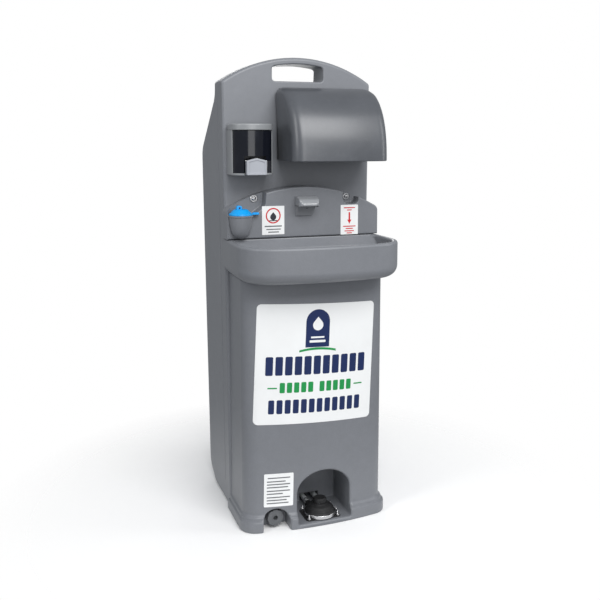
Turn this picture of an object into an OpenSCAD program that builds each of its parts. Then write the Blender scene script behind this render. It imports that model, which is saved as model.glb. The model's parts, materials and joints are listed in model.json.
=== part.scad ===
// Portable handwash sink: a back panel that is the fresh-water tank, a front tank for waste water,
// a bowl with a backsplash, a foot pump, a towel dispenser and a soap dispenser. Millimetres.
// X to the right, Y to the back, Z up. The origin is on the floor, midway between front and back.

/* [Overall] */
// Height to the crown of the back panel
total_h = 1405; // [1380:5:1430]
// Depth from the bowl's front to the tank's back
total_d = 590; // [580:2:600]
// Thickness of the moulded tank walls
wall = 6; // [5:0.5:8]

/* [Fresh tank] */
// Half width of the back panel at its shoulders
panel_half = 240; // [236:1:244]
// Half width of the back panel at the floor
foot_half = 226; // [222:1:230]
// Height of the shoulders, where the arched top begins
shoulder_z = 1330; // [1320:1:1340]
// Thickness of the panel's head behind the dispensers
head_d = 82; // [76:1:90]
// Half width of the hand slot
slot_half = 82; // [70:1:90]
// Lowest edge of the hand slot
slot_z = 1333; // [1330:1:1338]

/* [Waste tank] */
// Half width of the front tank
front_half = 222; // [216:1:224]
// How far the front tank stands out of the panel
front_d = 190; // [184:1:196]
// Bow of the front face, centre to corner
front_bow = 25; // [20:1:30]
// Radius of the front tank's upright corners
front_r = 50; // [44:1:56]
// Height of the base flange
flange_h = 45; // [40:1:50]
// How far the base flange stands out
flange_out = 14; // [10:1:14]

/* [Bowl and backsplash] */
// Half width of the bowl at its widest
bowl_half = 246; // [244:1:250]
// Height of the bowl's rim
rim_z = 862; // [858:1:866]
// Height of the bowl's underside, which is the top of the front tank
bowl_z = 756; // [752:1:760]
// Width of the rim's rounded lip
lip = 16; // [13:1:18]
// Half width of the backsplash
splash_half = 243; // [240:1:245]
// How far the backsplash stands out of the panel
splash_d = 64; // [60:1:68]
// Height of the backsplash crown
splash_top = 1016; // [1012:1:1020]
// Height of the backsplash at its sides
splash_side = 948; // [944:1:952]
// Distance from the middle to each backsplash screw
screw_x = 150; // [146:1:154]
// Height of the backsplash screws
screw_z = 981; // [979:1:983]

/* [Filler] */
// Distance from the middle to the filler cup
cup_x = 204; // [202:1:205]
// Height of the filler cup's rim
cup_z = 936; // [932:1:938]
// Radius of the filler cup's rim
cup_r = 36; // [34:1:37]

/* [Foot pump] */
// Middle of the pump and of the foot recess, across
pump_x = 19; // [16:1:20]
// Middle of the pump, in front of the panel
pump_y = 149; // [147:1:151]
// Radius of the pump's base
pump_r = 47; // [46:0.5:48]
// Travel of the pump button
pump_travel = 22; // [16:1:22]

/* [Towel dispenser] */
// Left side of the towel cover
towel_left = -74; // [-78:1:-72]
// Width of the towel cover
towel_w = 300; // [296:1:304]
// Depth of the towel cover
towel_d = 192; // [188:1:196]
// Lowest edge of the towel cover
towel_z = 1094; // [1092:1:1096]
// Height of the towel cover
towel_h = 220; // [218:1:222]
// Radius of a full towel roll
roll_r = 64; // [50:1:64]

/* [Soap dispenser] */
// Middle of the soap dispenser, left of the middle of the panel
soap_x = 164; // [162:1:166]
// Half width of the soap dispenser
soap_half = 62; // [61:1:63]
// Depth of the soap dispenser
soap_d = 104; // [102:1:106]
// Lowest edge of the soap dispenser
soap_z = 1053; // [1051:1:1055]

/* [Hidden] */
$fn = 48;

grey = [0.50, 0.51, 0.54];
dark_grey = [0.33, 0.34, 0.36];
light_grey = [0.72, 0.73, 0.76];
steel = [0.80, 0.80, 0.82];
rubber = [0.08, 0.08, 0.09];

half_d = total_d / 2;
gap = 0.3;
run_gap = 0.05;
arch_rise = total_h - shoulder_z;
arch_r = (panel_half * panel_half + arch_rise * arch_rise) / (2 * arch_rise);
slot_margin = 20;
back_taper = 12;
slope_low = 1128;
slope_high = 1290;
niche_half = 85;
niche_floor = 12;
niche_spring = 100;
niche_rise = 67;
niche_back = 48;
pocket_x = -131;
pocket_half = 41;
pocket_mid = 23;
pocket_back = 140;
plug_z = 33;
plug_r = 25;
thread_r = 19;
hose_r = 8;
hose_bore = 5.5;
hose_z = 24;
hose_in = 12;
bend_r = 18;
hose_gap = 5;
barb_x = 19;
barb_r = hose_bore - 0.1;
faucet_z = 955;
faucet_half = 32;
shank_r = 10;
drain_y = -140;
drain_r = 20;
floor_z = bowl_z + 7;
deck_back = splash_d + 6;
port_z = 905;
port_r = 14;
cup_y = splash_d + 10;
outlet_r = 10.8;
stud_x = 46;
stud_y = 32;
stud_r = 3;
bellows_top = 50;
bellows_z = 15;
hinge_y = -18;
hinge_z = towel_z + 210;
cover_wall = 3;
towel_mid = towel_left + towel_w / 2;
roll_y = -86;
roll_z = towel_z + 102;
roll_half = 100;
core_r = 19;
core_wall = 1.5;
feed_y = -60;
feed_r = 11;
pinch_r = 8;
nip_z = towel_z + 24;
pinch_y = feed_y - feed_r - pinch_r - gap;
lock_y = -66;
lock_z = towel_z + 46;
lock_r = 8;
soap_top = soap_z + 132;
lid_h = 18;
soap_side = 60;
lid_pin_z = soap_top + 8;
lid_pin_y = -12.5;
lever_half = 30;
lever_h = 51;
lever_top = soap_z + lever_h;
lever_pin_z = soap_z + 43;
lever_pin_y = -101;
piston_z = soap_z + 22;
piston_r = 6;
piston_y = -103.6;
label_t = 0.8;

// ---------- outlines ----------

function unit(v) = v / norm(v);
// The arc that rounds the corner q between p and s to radius r
function corner(p, q, s, r, n) = r == 0 ? [q] :
    let (a = unit(p - q), b = unit(s - q), h = acos(a * b) / 2, t = r / tan(h),
         c = q + unit(a + b) * r / sin(h), v0 = q + a * t - c, v1 = q + b * t - c, w = 180 - 2 * h)
    [for (i = [0 : n]) c + (v0 * sin((1 - i / n) * w) + v1 * sin(i / n * w)) / sin(w)];
// A closed outline from [x, y, radius] corners
function rounded(p, n = 6) = let (m = len(p))
    [for (i = [0 : m - 1]) let (a = p[(i + m - 1) % m], b = p[i], c = p[(i + 1) % m])
        each corner([a[0], a[1]], [b[0], b[1]], [c[0], c[1]], b[2], n)];
function arc(cx, cy, r, a0, a1, n) =
    [for (i = [0 : n]) let (a = a0 + (a1 - a0) * i / n) [cx + r * cos(a), cy + r * sin(a)]];
// A bowed front between -x1 and x1, where the bow is measured at half
function bowed(half, depth, bow, x1, n = 16) =
    [for (i = [0 : n]) let (x = -x1 + 2 * x1 * i / n) [x, -depth + bow * (x / half) * (x / half), 0]];
// Plan of a shell that stands out of the panel, with rounded corners and a bowed front
function plan(half, depth, bow, r) = rounded(concat(
    [[-half, 0, 0], [-half, -depth + bow, r]], bowed(half, depth, bow, half - r),
    [[half, -depth + bow, r], [half, 0, 0]]));
// Plan of the bowl, flush with the panel at the back and wider in front
function bowl_plan() = let (r = 108, bow = 32) rounded(concat(
    [[-panel_half, 0, 0], [-bowl_half, -110, 60], [-bowl_half, -half_d + bow, r]],
    bowed(bowl_half, half_d, bow, bowl_half - r),
    [[bowl_half, -half_d + bow, r], [bowl_half, -110, 60], [panel_half, 0, 0]]), 8);
// Outline of the panel seen from the front
function panel_outline() = let (a = asin(panel_half / arch_r)) concat(
    [[-foot_half, 0], [foot_half, 0]],
    arc(0, total_h - arch_r, arch_r, 90 - a, 90 + a, 32));
// Side profile of the fresh tank
function tank_profile() = rounded([[0, 0, 0], [205, 0, 60], [half_d - back_taper, 42, 50],
    [half_d, slope_low - 78, 0], [half_d, slope_low, 60], [head_d + 13, slope_high, 50], [head_d, total_h + 5, 0], [0, total_h + 5, 0]]);
// Outline of the hand slot, with a top that follows the arch
function slot_outline() = let (r = arch_r - slot_margin, a = asin((slot_half - 8) / r)) rounded(concat(
    [[-slot_half, slot_z, 10], [slot_half, slot_z, 10],
     [slot_half, total_h - arch_r + r * cos(a) - 4, 8]],
    [for (i = [0 : 12]) let (b = a - 2 * a * i / 12) [r * sin(b), total_h - arch_r + r * cos(b), 0]],
    [[-slot_half, total_h - arch_r + r * cos(a) - 4, 8]]));
// Outline of the foot recess: straight sides and an elliptical arch
function niche_outline(grow) = concat(
    [[-niche_half - grow, niche_floor - grow], [niche_half + grow, niche_floor - grow]],
    [for (i = [0 : 20]) let (a = 180 * i / 20)
        [(niche_half + grow) * cos(a), niche_spring + (niche_rise + grow) * sin(a)]]);
// Outline of the drain pocket, open at the floor
function pocket_outline(grow) = concat([[-pocket_half - grow, -1], [pocket_half + grow, -1]],
    arc(0, pocket_mid, pocket_half + grow, 0, 180, 16));
// Outline of the backsplash seen from the front
function splash_outline() = let (rise = splash_top - splash_side,
    r = (splash_half * splash_half + rise * rise) / (2 * rise), a = asin((splash_half - 14) / r))
    rounded(concat([[-splash_half, rim_z, 0], [splash_half, rim_z, 0], [splash_half, splash_side + 1, 12]],
    [for (i = [0 : 24]) let (b = a - 2 * a * i / 24) [r * sin(b), splash_top - r + r * cos(b), 0]],
    [[-splash_half, splash_side + 1, 12]]));
// Side profile of the towel cover: a quarter round that is fuller than a circle
function hood_profile(depth, height) = concat([[0, 0]],
    [for (i = [0 : 24]) let (a = 90 * i / 24)
        [-depth * pow(cos(a), 2 / 2.3), height * pow(sin(a), 2 / 2.3)]]);
// Plan of the soap dispenser: straight sides and a bowed front
function soap_plan(half, depth) = concat([[half, 0], [-half, 0], [-half, -soap_side]],
    [for (i = [1 : 15]) let (a = 180 + 180 * i / 16)
        [half * cos(a), -soap_side + (depth - soap_side) * sin(a)]], [[half, -soap_side]]);

// An outline in X and Z, extruded from y0 to y1
module upright(points, y0, y1) {
    translate([0, y1, 0]) rotate([90, 0, 0]) linear_extrude(y1 - y0) polygon(points);
}
// An outline in Y and Z, extruded from x0 to x1
module across(points, x0, x1) {
    translate([x0, 0, 0]) rotate([90, 0, 90]) linear_extrude(x1 - x0) polygon(points);
}
// A rod along Y, from y0 to y1
module rod_y(x, z, r, y0, y1) {
    translate([x, y0, z]) rotate([-90, 0, 0]) cylinder(r = r, h = y1 - y0);
}
// A rod along X, from x0 to x1
module rod_x(y, z, r, x0, x1) {
    translate([x0, y, z]) rotate([0, 90, 0]) cylinder(r = r, h = x1 - x0);
}
module ring(r_out, r_in, h) {
    difference() {
        cylinder(r = r_out, h = h);
        translate([0, 0, -1]) cylinder(r = r_in, h = h + 2);
    }
}
// A block given by its two corners
module block(a, b) {
    translate(a) cube(b - a);
}
// A helical spring standing on z = 0
module coil(r, wire, turns, h) {
    sides = 8;
    per_turn = 14;
    rings = turns * per_turn;
    rise = h - 2 * wire;
    points = [for (i = [0 : rings]) for (j = [0 : sides - 1])
        let (a = 360 * i / per_turn, b = 360 * j / sides, q = r + wire * cos(b))
        [q * cos(a), q * sin(a), wire + rise * i / rings + wire * sin(b)]];
    faces = concat(
        [[for (j = [0 : sides - 1]) j]],
        [for (i = [0 : rings - 1]) for (j = [0 : sides - 1]) let (a = i * sides, k = (j + 1) % sides)
            each [[a + j, a + sides + j, a + sides + k], [a + j, a + sides + k, a + k]]],
        [[for (j = [sides - 1 : -1 : 0]) rings * sides + j]]);
    polyhedron(points, faces);
}
// The two backsplash screw places
module at_screws() {
    for (x = [-screw_x, screw_x]) translate([x, 0, screw_z]) children();
}
// The four pump stud places
module at_studs() {
    for (x = [-stud_x, stud_x]) for (y = [-stud_y, stud_y])
        translate([pump_x + x, -pump_y + y, 0]) children();
}

// ---------- tanks ----------

module fresh_shape(inset) {
    intersection() {
        translate([0, half_d + 10, 0]) rotate([90, 0, 0]) linear_extrude(half_d + 20)
            offset(delta = -inset) polygon(panel_outline());
        translate([-panel_half - 10, 0, 0]) rotate([90, 0, 90]) linear_extrude(2 * panel_half + 20)
            offset(delta = -inset) polygon(tank_profile());
    }
}
module fresh_tank() {
    color(grey) difference() {
        fresh_shape(0);
        difference() {
            fresh_shape(wall);
            translate([0, half_d, 0]) rotate([90, 0, 0]) linear_extrude(half_d + 5)
                offset(delta = wall) polygon(slot_outline());
        }
        upright(slot_outline(), -5, head_d + 20);
        rod_y(-cup_x, port_z, port_r, -1, wall + 1);
        rod_y(pump_x + barb_x, hose_z, outlet_r, -1, wall + 1);
        at_screws() rod_y(0, 0, 3.2, -1, wall + 1);
    }
}
// What is cut out of the front tank; grow makes the same shape bigger for its walls
module tank_recesses(grow) {
    translate([pump_x, 0, 0]) upright(niche_outline(grow), -260, -niche_back + grow);
    translate([pocket_x, 0, 0]) upright(pocket_outline(grow), -260, -pocket_back + grow);
    block([-hose_in - grow, -2 * hose_in - grow, niche_floor - grow], [hose_in + grow, 1, bowl_z + 1]);
    block([-hose_in - grow, -niche_back - 1 - grow, niche_floor - grow],
        [pump_x + barb_x + hose_in + grow, 1, niche_floor + 2 * hose_in + grow]);
}
module tank_plan(grow) {
    polygon(plan(front_half + grow * 0.85, front_d + grow, front_bow, front_r));
}
module waste_tank() {
    color(grey) difference() {
        union() {
            linear_extrude(bowl_z) tank_plan(0);
            linear_extrude(flange_h) tank_plan(flange_out / 2);
            linear_extrude(flange_h - 12) tank_plan(flange_out);
        }
        difference() {
            translate([0, 0, wall]) linear_extrude(bowl_z - 2 * wall)
                offset(delta = -wall) tank_plan(0);
            tank_recesses(wall);
        }
        tank_recesses(0);
        translate([0, drain_y, bowl_z - wall - 1]) cylinder(r = drain_r + 0.1, h = wall + 2);
        rod_y(pocket_x, plug_z, plug_r - 3, -pocket_back - 1, -pocket_back + wall + 1);
        at_studs() translate([0, 0, niche_floor - 8]) cylinder(r = stud_r + 0.05, h = 9);
    }
}

// ---------- bowl and backsplash ----------

// A stack of slices that rounds the lower edge of an outline to radius r
module rounded_below(z0, z1, r, first) {
    slices = 6;
    for (i = [0 : slices - 1]) {
        a = 90 * (i + 0.5) / slices;
        translate([0, 0, z0 + r * (1 - cos(90 * i / slices))])
            linear_extrude(z1 - z0 - r * (1 - cos(90 * i / slices)))
                offset(delta = -first - r * (1 - sin(a))) polygon(bowl_plan());
    }
    translate([0, 0, z0 + r]) linear_extrude(z1 - z0 - r) offset(delta = -first) polygon(bowl_plan());
}
module bowl() {
    color(grey) difference() {
        rounded_below(bowl_z, rim_z, 34, 0);
        intersection() {
            rounded_below(floor_z, rim_z + 5, 30, lip);
            across([[-400, 0], [-400, 1000], [-deck_back, 1000], [-deck_back, rim_z - 6],
                [-98, rim_z - 26], [-109, bowl_z], [-109, 0]], -300, 300);
        }
        block([-bowl_half + 30, -splash_d + wall, bowl_z - 1], [bowl_half - 30, -wall, rim_z - wall]);
        block([-hose_in, -2 * hose_in, bowl_z - 1], [hose_in, 1, rim_z + 1]);
        translate([0, drain_y, bowl_z - 1]) cylinder(r = drain_r + 0.1, h = 20);
        translate([0, drain_y, floor_z - 2]) cylinder(r = drain_r + 10, h = 10);
    }
}
// The open-topped recess round one backsplash screw
module screw_pocket(grow) {
    depth = splash_d - 40;
    outline = [[-24 - grow, -20 - grow], [24 + grow, -20 - grow], [34 + grow, 45], [-34 - grow, 45]];
    translate([0, -depth + grow, 0]) rotate([90, 0, 0]) linear_extrude(60) polygon(outline);
}
module cup_cone(grow) {
    translate([-cup_x, -cup_y, rim_z + 6 - grow / 4])
        cylinder(r1 = 12 + grow, r2 = cup_r + grow, h = cup_z - rim_z - 6 + grow / 4);
}
// The room above the cup, open to the pocket beside it
module cup_room(grow) {
    translate([-cup_x, -cup_y, cup_z - grow]) cylinder(r = cup_r + 1.5 + grow, h = 100);
    translate([0, 40 - splash_d + grow, 0]) rotate([90, 0, 0]) linear_extrude(100) offset(delta = grow)
        polygon([[-cup_x, cup_z], [-cup_x + 44, cup_z], [-screw_x + 24, screw_z - 20], [-screw_x + 20, 1100], [-cup_x, 1100]]);
}
module backsplash() {
    color(grey) difference() {
        union() {
            difference() {
                upright(splash_outline(), -splash_d, 0);
                at_screws() screw_pocket(0);
                cup_room(0);
            }
            intersection() {
                cup_cone(0);
                block([-cup_x - 60, -200, 0], [-cup_x + 60, -splash_d + 2, 1100]);
            }
        }
        difference() {
            translate([0, 1, 0]) rotate([90, 0, 0]) linear_extrude(splash_d - wall + 1)
                offset(delta = -wall) polygon(splash_outline());
            at_screws() screw_pocket(wall);
            cup_room(wall);
            cup_cone(0.5);
        }
        intersection() {
            cup_cone(-4);
            block([-cup_x - 60, -200, rim_z + 10], [-cup_x + 60, -30, 1100]);
        }
        translate([-cup_x, -cup_y, cup_z - 4]) cylinder(r = cup_r - 4, h = 60);
        rod_y(-cup_x, port_z, port_r, -cup_y, 24 - splash_d);
        block([-bowl_half, -splash_d + wall, rim_z - 1], [bowl_half, 1, rim_z + wall + 1]);
        rod_y(0, faucet_z, shank_r + 0.1, -splash_d - 1, -splash_d + wall + 1);
        at_screws() rod_y(0, 0, 3.2, -splash_d, 1);
    }
}
module splash_screws() {
    color(steel) at_screws() difference() {
        union() {
            rod_y(0, 0, 3, -26, 16);
            rod_y(0, 0, 6.5, -31, -25.5);
        }
        rod_y(0, 0, 2.6, -32, -28.5);
    }
}
module splash_washers() {
    color(steel) at_screws() difference() {
        rod_y(0, 0, 11, -25.5, -24);
        rod_y(0, 0, 3.1, -26, -23);
    }
}
module bowl_strainer() {
    color(steel) translate([0, drain_y, floor_z - 2]) difference() {
        union() {
            cylinder(r = drain_r + 9.5, h = 1.8);
            translate([0, 0, -3]) cylinder(r = drain_r - 4, h = 4);
        }
        for (i = [0 : 7]) rotate([0, 0, 45 * i]) translate([10, 0, -4]) cylinder(r = 2.4, h = 8);
        translate([0, 0, -4]) cylinder(r = 2.4, h = 8);
    }
}
module tailpiece() {
    color(light_grey) translate([0, drain_y, 0]) difference() {
        translate([0, 0, bowl_z - 60]) cylinder(r = drain_r - 0.1, h = floor_z - 2 - bowl_z + 60);
        translate([0, 0, bowl_z - 61]) cylinder(r = drain_r - 3, h = 100);
    }
}
module tailpiece_nut() {
    color(light_grey) translate([0, drain_y, bowl_z - wall - 14]) difference() {
        cylinder(r = drain_r + 12, h = 12, $fn = 8);
        translate([0, 0, -1]) cylinder(r = drain_r, h = 14);
    }
}
module tailpiece_gasket() {
    color(rubber) translate([0, drain_y, bowl_z - wall - 2]) ring(drain_r + 8, drain_r, 2);
}

// ---------- faucet and filler ----------

function spout_profile() = [[-splash_d, faucet_z - 27], [-splash_d, faucet_z + 33],
    [-splash_d - 22, faucet_z + 33], [-splash_d - 40, faucet_z + 25], [-splash_d - 50, faucet_z + 10],
    [-splash_d - 50, faucet_z + 5], [-splash_d - 22, faucet_z + 1], [-splash_d - 3, faucet_z - 27]];
module faucet_spout() {
    color(grey) difference() {
        union() {
            across(spout_profile(), -faucet_half, faucet_half);
            rod_y(0, faucet_z, shank_r, -splash_d - 0.5, -hose_in - bend_r - 12);
            rod_y(0, faucet_z, barb_r, -splash_d, -hose_in - bend_r - hose_gap + 4);
        }
        rod_y(0, faucet_z, 4, -splash_d - 18, 0);
        block([-faucet_half + 6, -splash_d - 44, faucet_z - 4], [faucet_half - 6, -splash_d - 16, faucet_z + 14]);
        block([-faucet_half - 1, -splash_d - 1.5, faucet_z - 60], [-faucet_half + 4, -splash_d + 1, faucet_z - 24]);
    }
}
module faucet_gasket() {
    color(rubber) difference() {
        rod_y(0, faucet_z, shank_r + 8, -splash_d + wall, -splash_d + wall + 2);
        rod_y(0, faucet_z, shank_r + 0.1, -splash_d, 0);
    }
}
module faucet_nut() {
    color(light_grey) difference() {
        translate([0, -splash_d + wall + 2, faucet_z]) rotate([-90, 0, 0]) cylinder(r = 17, h = 9, $fn = 6);
        rod_y(0, faucet_z, shank_r + 0.1, -splash_d, 0);
    }
}
module fill_tube() {
    color(rubber) difference() {
        rod_y(-cup_x, port_z, port_r - 0.1, -54, 20);
        rod_y(-cup_x, port_z, port_r - 3, -100, 30);
    }
}
module fill_cap() {
    color([0.09, 0.56, 0.88]) translate([-cup_x, -cup_y, cup_z]) difference() {
        union() {
            translate([0, 0, gap]) cylinder(r = cup_r - 1, h = 5);
            translate([0, 0, 5]) cylinder(r1 = cup_r - 3, r2 = 20, h = 13);
            translate([0, 0, -10]) cylinder(r = cup_r - 10, h = 11);
            block([-14, -7, 14], [2, 7, 29]);
            block([cup_r - 6, -7, 1], [cup_r + 21, 7, 5]);
            block([cup_r + 3, -5, 1], [cup_r + 15, 5, 8]);
        }
        translate([0, 0, -11]) cylinder(r = cup_r - 13, h = 14);
        translate([-6, -10, 23]) rotate([-90, 0, 0]) cylinder(r = 3, h = 20);
        for (x = [cup_r + 5, cup_r + 14]) translate([x, 0, -1]) cylinder(r = 2.2, h = 12);
    }
}
module cap_gasket() {
    color(rubber) translate([-cup_x, -cup_y, cup_z - 7]) ring(cup_r - 7, cup_r - 10 + run_gap, 4);
}

// ---------- labels ----------

// A thin sheet on the bowed front of the waste tank, cut to a rectangle with round corners
module front_sheet(x, z, w, h, lean, r) {
    skin = plan(front_half + label_t, front_d + label_t, front_bow, front_r + label_t);
    wall_line = plan(front_half, front_d, front_bow, front_r);
    intersection() {
        difference() {
            translate([0, 0, z - h]) linear_extrude(2 * h) polygon([for (p = skin) [p[0], p[1]]]);
            translate([0, 0, z - h - 1]) linear_extrude(2 * h + 2) polygon([for (p = wall_line) [p[0], p[1]]]);
        }
        translate([x, 0, z]) rotate([0, lean, 0]) upright(rounded([[-w / 2, -h / 2, r], [w / 2, -h / 2, r],
            [w / 2, h / 2, r], [-w / 2, h / 2, r]]), -300, -50);
    }
}
module front_label() {
    color("white") front_sheet(-8, 501.5, 368, 360, 2.2, 13);
}
module service_label() {
    color("white") front_sheet(-124, 124, 88, 102, 1, 2);
}
module splash_sheet(x, z, w, h) {
    upright([[x - w / 2, z - h / 2], [x + w / 2, z - h / 2], [x + w / 2, z + h / 2], [x - w / 2, z + h / 2]],
        -splash_d - label_t, -splash_d);
}
module splash_label() {
    color("white") splash_sheet(-101, 917, 70, 86);
}
module towel_label() {
    color("white") splash_sheet(146, 911, 58, 92);
}

// ---------- foot pump ----------

module at_pump(z) {
    translate([pump_x, -pump_y, z]) children();
}
module pump_base() {
    color(rubber) difference() {
        union() {
            at_pump(niche_floor) linear_extrude(3)
                polygon(rounded([[-56, -40, 12], [56, -40, 12], [56, 40, 12], [-56, 40, 12]]));
            at_pump(niche_floor) cylinder(r = pump_r - 5.5, h = 12);
            block([pump_x - barb_x - 8, 40 - pump_y, niche_floor], [pump_x + barb_x + 8, 63 - pump_y, niche_floor + 3]);
            for (x = [-barb_x, barb_x]) {
                rod_y(pump_x + x, hose_z, barb_r, 57 - pump_y, -niche_back - 14);
                block([pump_x + x - 7, 51 - pump_y, niche_floor], [pump_x + x + 7, 61 - pump_y, hose_z + 7]);
            }
        }
        at_pump(niche_floor + 3) cylinder(r = pump_r - 8.5, h = 30);
        for (x = [-barb_x, barb_x]) rod_y(pump_x + x, hose_z, 3.5, 53 - pump_y, 0);
        at_studs() translate([0, 0, niche_floor - 1]) cylinder(r = stud_r + 0.05, h = 6);
        at_pump(0) for (x = [-12, 12]) translate([x, 0, niche_floor + 1]) cylinder(r = 7.2, h = 3);
    }
}
module pump_bellows() {
    color(rubber) at_pump(0) rotate_extrude() polygon(concat(
        [[pump_r, bellows_z], [pump_r, 26], [pump_r - 1.5, 27.5], [42, 36], [36, 43], [24, 47.5],
         [20, bellows_top], [0, bellows_top], [0, bellows_top - 3], [19, bellows_top - 3], [23, 44.5],
         [34, 40.5], [39, 34.5], [pump_r - 4.5, 26], [pump_r - 4.5, bellows_z]]));
}
module pump_button() {
    color(rubber) at_pump(bellows_top) rotate_extrude() polygon([[0, 0], [17, 0], [20, 3], [20, 12],
        [18, 15], [14, 16], [12, 15], [0, 15]]);
}
module clamp_ring() {
    color(steel) at_pump(16) ring(pump_r + 2.2, pump_r + 0.2, 10);
}
module clamp_screw() {
    color(steel) at_pump(21) {
        translate([pump_r + 2.2, -7, -4]) cube([7, 3, 8]);
        translate([pump_r + 2.2, 4, -4]) cube([7, 3, 8]);
        translate([pump_r + 6, -4, 0]) rotate([-90, 0, 0]) cylinder(r = 2, h = 8);
    }
}
module pump_spring() {
    color(steel) at_pump(niche_floor + 4.5) coil(16.5, 1.2, 4, bellows_top - 3 - niche_floor - 4.8);
}
module pump_valves() {
    color("black") at_pump(niche_floor + 1) for (x = [-12, 12]) translate([x, 0, 0]) cylinder(r = 7, h = 3);
}
module pump_studs() {
    color(steel) at_studs() translate([0, 0, niche_floor - 8]) cylinder(r = stud_r, h = 26);
}
module pump_nuts() {
    color(steel) at_studs() translate([0, 0, niche_floor + 3]) difference() {
        cylinder(r = 6.3, h = 5, $fn = 6);
        translate([0, 0, -1]) cylinder(r = stud_r + 0.05, h = 8);
    }
}
// A hose piece: a tube along Y
module hose_y(x, z, y0, y1) {
    difference() {
        rod_y(x, z, hose_r, y0, y1);
        rod_y(x, z, hose_bore, y0 - 1, y1 + 1);
    }
}
module hose_bend(turn) {
    rotate([0, 0, turn]) rotate_extrude(angle = 90) translate([bend_r, 0]) difference() {
        circle(r = hose_r);
        circle(r = hose_bore);
    }
}
module suction_hose() {
    color([0.75, 0.78, 0.80]) hose_y(pump_x + barb_x, hose_z, -niche_back - 40, -2);
}
module delivery_hose() {
    mid = -hose_in;
    color([0.75, 0.78, 0.80]) union() {
        hose_y(0, hose_z, -niche_back - 40, mid - bend_r);
        translate([0, mid - bend_r, hose_z + bend_r]) rotate([0, 90, 0]) rotate([0, 0, 0]) hose_bend(0);
        translate([0, mid, hose_z + bend_r]) ring(hose_r, hose_bore, faucet_z - hose_z - 2 * bend_r);
        translate([0, mid - bend_r, faucet_z - bend_r]) rotate([0, 90, 0]) hose_bend(90);
        hose_y(0, faucet_z, mid - bend_r - hose_gap - 6, mid - bend_r);
    }
}
module hose_clamps() {
    color(steel) difference() {
        union() {
            for (x = [-barb_x, barb_x]) rod_y(pump_x + x, hose_z, hose_r + 1.2, -niche_back - 34, -niche_back - 26);
            rod_y(pump_x + barb_x, hose_z, hose_r + 1.2, -16, -8);
        }
        for (x = [-barb_x, barb_x]) rod_y(pump_x + x, hose_z, hose_r, -200, 10);
    }
}
module tank_outlet() {
    color(light_grey) difference() {
        union() {
            rod_y(pump_x + barb_x, hose_z, outlet_r - 0.1, 0, 24);
            rod_y(pump_x + barb_x, hose_z, outlet_r + 1, -1.8, 0);
            rod_y(pump_x + barb_x, hose_z, barb_r, -18, -1);
        }
        rod_y(pump_x + barb_x, hose_z, 4, -30, 30);
    }
}
module outlet_nut() {
    color(light_grey) difference() {
        translate([pump_x + barb_x, wall, hose_z]) rotate([-90, 30, 0]) cylinder(r = 17, h = 8, $fn = 6);
        rod_y(pump_x + barb_x, hose_z, outlet_r, 0, 30);
    }
}

// ---------- waste drain ----------

module drain_bushing() {
    color(dark_grey) difference() {
        union() {
            rod_y(pocket_x, plug_z, plug_r - 3.1, -pocket_back, -pocket_back + 24);
            rod_y(pocket_x, plug_z, plug_r + 1, -pocket_back - 8, -pocket_back);
        }
        rod_y(pocket_x, plug_z, thread_r, -pocket_back - 9, -pocket_back + 30);
    }
}
module drain_plug() {
    color(grey) difference() {
        rod_y(pocket_x, plug_z, plug_r, -pocket_back - 32, -pocket_back - 12);
        translate([pocket_x, -pocket_back - 33, plug_z]) rotate([-90, 0, 0]) cylinder(r = 8, h = 15, $fn = 6);
        for (i = [0 : 7]) translate([pocket_x, 0, plug_z]) rotate([0, 45 * i + 22.5, 0])
            translate([plug_r + 1.5, 0, 0]) rod_y(0, 0, 3.5, -pocket_back - 40, -pocket_back - 14);
    }
}
module plug_thread() {
    color(grey) difference() {
        rod_y(pocket_x, plug_z, thread_r - run_gap, -pocket_back - 12, -pocket_back + 14);
        rod_y(pocket_x, plug_z, thread_r - 4, -pocket_back - 6, -pocket_back + 20);
    }
}
module plug_gasket() {
    color(rubber) difference() {
        rod_y(pocket_x, plug_z, plug_r - 1, -pocket_back - 11.7, -pocket_back - 8.3);
        rod_y(pocket_x, plug_z, thread_r + run_gap, -pocket_back - 13, -pocket_back);
    }
}

// ---------- towel dispenser ----------

module hood_shape(inset) {
    x0 = towel_left + inset;
    w = towel_w - 2 * inset;
    d = towel_d - inset;
    r = 36 - inset;
    intersection() {
        translate([0, 0, towel_z]) across(hood_profile(d, towel_h - inset), x0, x0 + w);
        translate([x0 + w / 2, 0, 0]) linear_extrude(total_h)
            polygon(plan(w / 2, d, 8, r));
    }
}
// Lugs that hang from the cover's top, beside the ones on the back
module cover_lug(x0, x1) {
    block([x0, hinge_y - 5, hinge_z - 5], [x1, hinge_y + 5, towel_z + towel_h - 2]);
}
module towel_cover() {
    color(dark_grey) difference() {
        union() {
            difference() {
                hood_shape(0);
                translate([0, 0, -0.01]) hood_shape(cover_wall);
                block([towel_left + cover_wall, -towel_d + 20, towel_z - 1],
                    [towel_left + towel_w - cover_wall, 1, towel_z + 1]);
            }
            for (x = [towel_left + 14, towel_left + towel_w - 23]) cover_lug(x, x + 8);
        }
        translate([towel_left - 1, 0, towel_z]) rotate([90, 0, 90]) linear_extrude(towel_w + 2)
            polygon([[-45, -10], [-9, towel_h - 20], [-9, towel_h + 10], [20, towel_h + 10], [20, -10]]);
        rod_x(hinge_y, hinge_z, 2 + run_gap, towel_left + 10, towel_left + towel_w - 10);
        rod_x(lock_y, lock_z, lock_r + run_gap, towel_left + towel_w - 10, towel_left + towel_w + 10);
    }
}
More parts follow.
